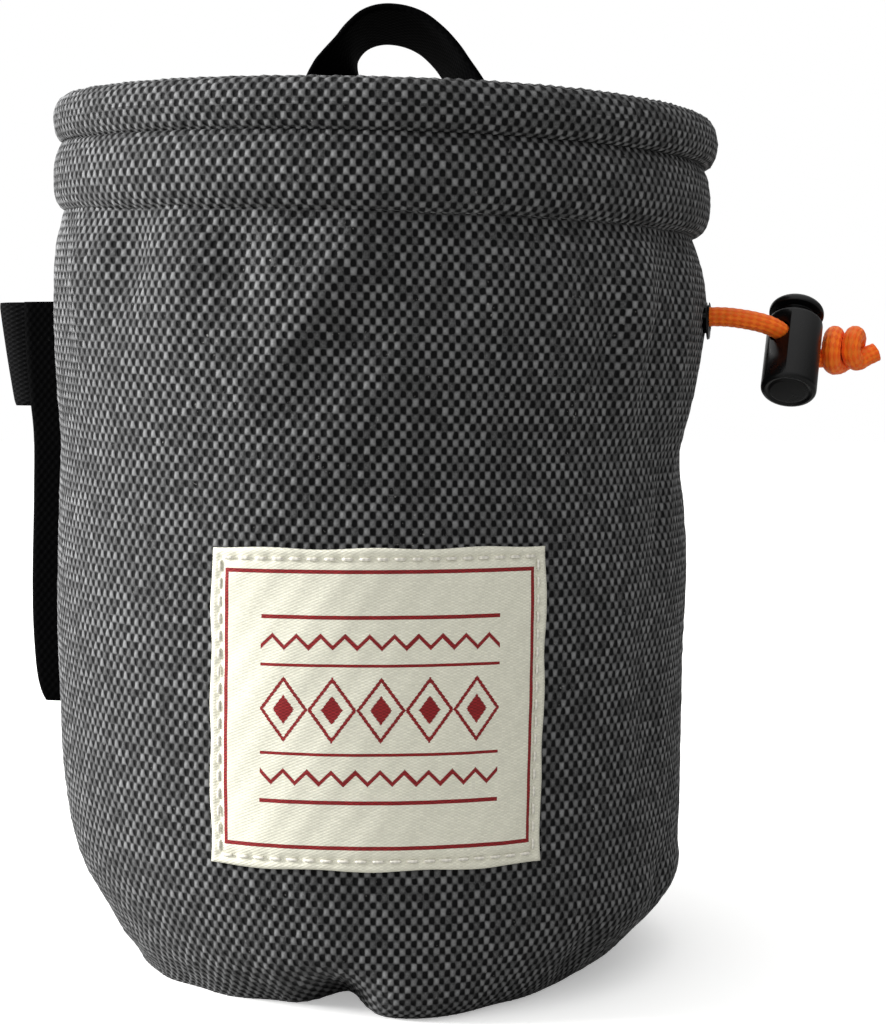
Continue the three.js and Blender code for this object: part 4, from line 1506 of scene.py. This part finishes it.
def roundedOutline(outline, steps=4):
    # each corner (radius, height, rounding) with a rounding becomes an arc
    result = []
    count = len(outline)
    for index, (radius, height, rounding) in enumerate(outline):
        here = np.array([radius, height], float)
        if rounding <= 0:
            result.append(here)
            continue
        before = np.array(outline[index - 1][:2], float)
        after = np.array(outline[(index + 1) % count][:2], float)
        start = here + unit(before - here) * rounding
        end = here + unit(after - here) * rounding
        for step in range(steps + 1):
            share = step / steps
            result.append((1 - share) ** 2 * start + 2 * share * (1 - share) * here + share ** 2 * end)
    return result


def wayTube(line, radius):
    # a plain tube round the line, for cutting
    sides = cordWay["sides"]
    rings = tubePoints(line, radius, 2 * np.pi * np.arange(sides) / sides)[0]
    faces = gridFaces(len(rings), sides, True)[0][:, ::-1].tolist()
    faces.append(list(range(sides)))
    faces.append(list(range((len(rings) - 1) * sides, len(rings) * sides))[::-1])
    mesh = bpy.data.meshes.new("cordWay")
    mesh.from_pydata((rings.reshape(-1, 3) * millimetre).tolist(), [], faces)
    bm = bmesh.new()
    bm.from_mesh(mesh)
    bmesh.ops.recalc_face_normals(bm, faces=bm.faces)
    bm.to_mesh(mesh)
    bm.free()
    tube = bpy.data.objects.new("cordWay", mesh)
    scene.collection.objects.link(tube)
    return tube


def cutCordWay(piece, line):
    cutter = wayTube(line, cordSizes["diameter"] / 2 + cordWay["clearance"])
    boolean = piece.modifiers.new("cordWay", "BOOLEAN")
    boolean.operation = "DIFFERENCE"
    boolean.solver = "EXACT"
    boolean.object = cutter
    bpy.context.view_layer.objects.active = piece
    with bpy.context.temp_override(object=piece, active_object=piece, selected_objects=[piece]):
        bpy.ops.object.modifier_apply(modifier=boolean.name)
    bpy.data.objects.remove(cutter)


leanRight = math.radians(lock["leanRight"])
leanBack = math.radians(lock["leanBack"])
lockAxis = np.array([math.sin(leanRight) * math.cos(leanBack), math.sin(leanBack),
                     math.cos(leanRight) * math.cos(leanBack)])
lockOrigin = np.array(cordRoute[lock["routePoint"]]) - lockAxis * lock["cordHeight"]
wayLine = centripetalCurve(cordRoute, cordWay["steps"])


def buildBarrel():
    radius, length, edge = lock["radius"], lock["length"], lock["edge"]
    bore = radius - lock["wall"]
    outline = roundedOutline([
        (axisHole, 0.0, 0), *[(radius - inward, up, rounding) for inward, up, rounding in barrelEnd],
        (radius, length, edge), (bore, length, 0.3), (bore, lock["floor"], 0.3), (axisHole, lock["floor"], 0),
    ])
    return turnedPiece("lockBarrel", outline, lockOrigin, lockAxis, lock["sides"], "cord_lock_barrel")


def buildPlunger():
    radius, neckTop, head = lock["radius"], lock["length"] + lock["neck"], lock["head"]
    stem = radius - lock["wall"] - lock["play"]
    foot = lock["floor"] + lock["travel"] + lock["play"]
    outline = roundedOutline([
        (axisHole, foot, 0), (stem, foot, 0.4), (stem, neckTop, 0.2),
        *[(radius * out, neckTop + head * up, rounding) for out, up, rounding in plungerHead],
        (axisHole, neckTop + head, 0),
    ])
    return turnedPiece("lockPlunger", outline, lockOrigin, lockAxis, lock["sides"], "cord_lock_plunger", "plunger")


def closeAxis(piece):
    # fills the small holes that a turned outline leaves on its axis
    bm = bmesh.new()
    bm.from_mesh(piece.data)
    bmesh.ops.holes_fill(bm, edges=[edge for edge in bm.edges if edge.is_boundary], sides=0)
    bmesh.ops.recalc_face_normals(bm, faces=bm.faces)
    for face in bm.faces:
        face.smooth = True
    bm.to_mesh(piece.data)
    bm.free()


barrelPiece = buildBarrel()
closeAxis(barrelPiece)
cutCordWay(barrelPiece, wayLine)
plungerPiece = buildPlunger()
closeAxis(plungerPiece)
# the plunger's hole is longer by its travel, so that it never meets the cord
for share in cordWay["plungerStops"]:
    cutCordWay(plungerPiece, wayLine + lockAxis * lock["travel"] * share)
print("cord lock made")


def buildEyelet():
    bore = cordSizes["diameter"] / 2 + cordWay["clearance"] + eyelet["play"] / 2
    tube = bore + eyelet["wall"]
    inner = -bag["clothThickness"]
    gap, flange, azimuth = bag["clothGap"], eyelet["flange"], eyelet["azimuth"]
    outline = roundedOutline([
        (bore, inner, 0.1), (tube, inner, 0.1), (tube, gap, 0), (eyelet["radius"], gap, 0.1),
        (eyelet["radius"], gap + flange * eyelet["slopeFrom"], 0.25),
        (eyelet["radius"] - flange * eyelet["slopeReach"], gap + flange, 0.2), (bore, gap + flange, 0.3),
    ])
    z = float(bodyTop(azimuth)) - eyelet["drop"]
    origin = polar(azimuth, packedRadius(azimuth, z / bodyTop(azimuth)), z)
    direction = polar(azimuth, 1.0, 0.0)
    piece = turnedPiece("cordEyelet", outline + outline[:1], origin, direction, eyelet["sides"], "cord_eyelet")
    # the lip hangs lower than the bore
    for vertex in piece.data.vertices:
        place = np.array(vertex.co) / millimetre - origin
        out = float(place @ direction)
        ring = float(np.linalg.norm(place - out * direction))
        if out >= gap and ring > tube + 0.01:
            vertex.co.z -= eyelet["lipDrop"] * millimetre


buildEyelet()
print("eyelet made")

# The stopper knot: the cord's end wound round itself, with a short tail
knot = {
    "strand": 1.78,
    "step": 0.22,
}
knotRoute = [
    (81.4, -6.3, 107.1), (82.2, -5.2, 107.8), (82.8, -4.1, 109.3), (82.7, -5.0, 111.0), (81.9, -7.2, 110.9),
    (81.1, -8.9, 109.2), (80.9, -9.3, 107.2), (81.6, -7.8, 105.8), (83.7, -5.2, 106.0), (85.6, -3.9, 107.4),
    (86.6, -4.7, 109.8), (85.9, -7.0, 111.2), (84.8, -9.0, 110.0), (84.6, -9.2, 107.8), (86.0, -7.4, 106.4),
    (88.0, -6.5, 107.3), (89.8, -6.3, 108.1),
]
knotLine, knotPlaces = evenCurve(knotRoute, knot["step"])
knotPiece = braidedTube("stopperKnot", knotLine, knotPlaces, knot["strand"], "cord_knot")
print("stopper knot made")

# Soft studio light from the left over a pale floor
studio = {
    "skyMiddle": 0.66,
    "skyFromLeft": 0.64,
    "skyTop": 1.45,
    "keyEnergy": 14.5,
    "keySize": 0.30,
    "keyPlace": (-0.87, -0.06, 0.32),
    "floorColor": (0.95, 0.95, 0.94),
    "floorBounce": (0.45, 0.45, 0.44),
    "floorGlow": 0.35,
    "skyLeast": 0.02,
    "keyAim": (0, 0, 0.07),
    "floorPatch": 0.985,
    "floorGrain": 40.0,
    "floorRough": 0.8,
    "floorHalf": 3,
}
scene.view_settings.view_transform = "Standard"


def addSoftbox(name, place, aim, size, energy):
    data = bpy.data.lights.new(name, "AREA")
    data.shape = "DISK"
    data.size = size
    data.energy = energy
    lamp = bpy.data.objects.new(name, data)
    lamp.location = place
    lamp.rotation_euler = (Vector(aim) - Vector(place)).to_track_quat("-Z", "Y").to_euler()
    scene.collection.objects.link(lamp)


addSoftbox("keyLight", studio["keyPlace"], studio["keyAim"], studio["keySize"], studio["keyEnergy"])
world = bpy.data.worlds.new("studioWorld")
world.use_nodes = True
worldTree = world.node_tree
background = worldTree.nodes["Background"]
background.inputs["Color"].default_value = (1, 1, 1, 1)
# the walls are brighter on the left, and the ceiling is brighter still
direction = worldTree.nodes.new("ShaderNodeSeparateXYZ")
worldTree.links.new(worldTree.nodes.new("ShaderNodeTexCoord").outputs["Generated"], direction.inputs[0])
walls = addMath(worldTree, "MULTIPLY_ADD", direction.outputs[0], -studio["skyFromLeft"], studio["skyMiddle"])
overhead = addMath(worldTree, "MAXIMUM", direction.outputs[2], 0.0)
rise = addMath(worldTree, "SUBTRACT", studio["skyTop"], walls)
sky = addMath(worldTree, "MULTIPLY_ADD", addMath(worldTree, "MULTIPLY", overhead, overhead), rise, walls)
worldTree.links.new(addMath(worldTree, "MAXIMUM", sky, studio["skyLeast"]), background.inputs["Strength"])
seen = worldTree.nodes.new("ShaderNodeBackground")
seen.inputs["Color"].default_value = (1, 1, 1, 1)
seen.inputs["Strength"].default_value = 1.0
lightPath = worldTree.nodes.new("ShaderNodeLightPath")
chosen = worldTree.nodes.new("ShaderNodeMixShader")
worldTree.links.new(lightPath.outputs["Is Camera Ray"], chosen.inputs[0])
worldTree.links.new(background.outputs[0], chosen.inputs[1])
worldTree.links.new(seen.outputs[0], chosen.inputs[2])
worldTree.links.new(chosen.outputs[0], worldTree.nodes["World Output"].inputs["Surface"])
scene.world = world

floorMaterial, floorTree, floorShader = newMaterial("paleFloor")
floorPlace = floorTree.nodes.new("ShaderNodeTexCoord").outputs["Object"]
floorMix = addMix(floorTree, addNoise(floorTree, floorPlace, studio["floorGrain"]), (*studio["floorColor"], 1),
                  (*[value * studio["floorPatch"] for value in studio["floorColor"]], 1))
# the floor lights the bag less than it shows, as a floor further away would
floorPath = floorTree.nodes.new("ShaderNodeLightPath")
floorSeen = addMix(floorTree, floorPath.outputs["Is Camera Ray"], (*studio["floorBounce"], 1), floorMix)
floorTree.links.new(floorSeen, floorShader.inputs["Base Color"])
floorShader.inputs["Roughness"].default_value = studio["floorRough"]
# a little glow that the camera alone sees keeps the floor's shadow pale
floorGlow = addMath(floorTree, "MULTIPLY", floorPath.outputs["Is Camera Ray"], studio["floorGlow"])
floorShader.inputs["Emission Color"].default_value = (1, 1, 1, 1)
floorTree.links.new(floorGlow, floorShader.inputs["Emission Strength"])
floorMesh = bpy.data.meshes.new("paleFloor")
half = studio["floorHalf"]
floorMesh.from_pydata([(-half, -half, 0), (half, -half, 0), (half, half, 0), (-half, half, 0)], [], [(0, 1, 2, 3)])
floorMesh.materials.append(floorMaterial)
floor = bpy.data.objects.new("paleFloor", floorMesh)
scene.collection.objects.link(floor)
print("studio ready")
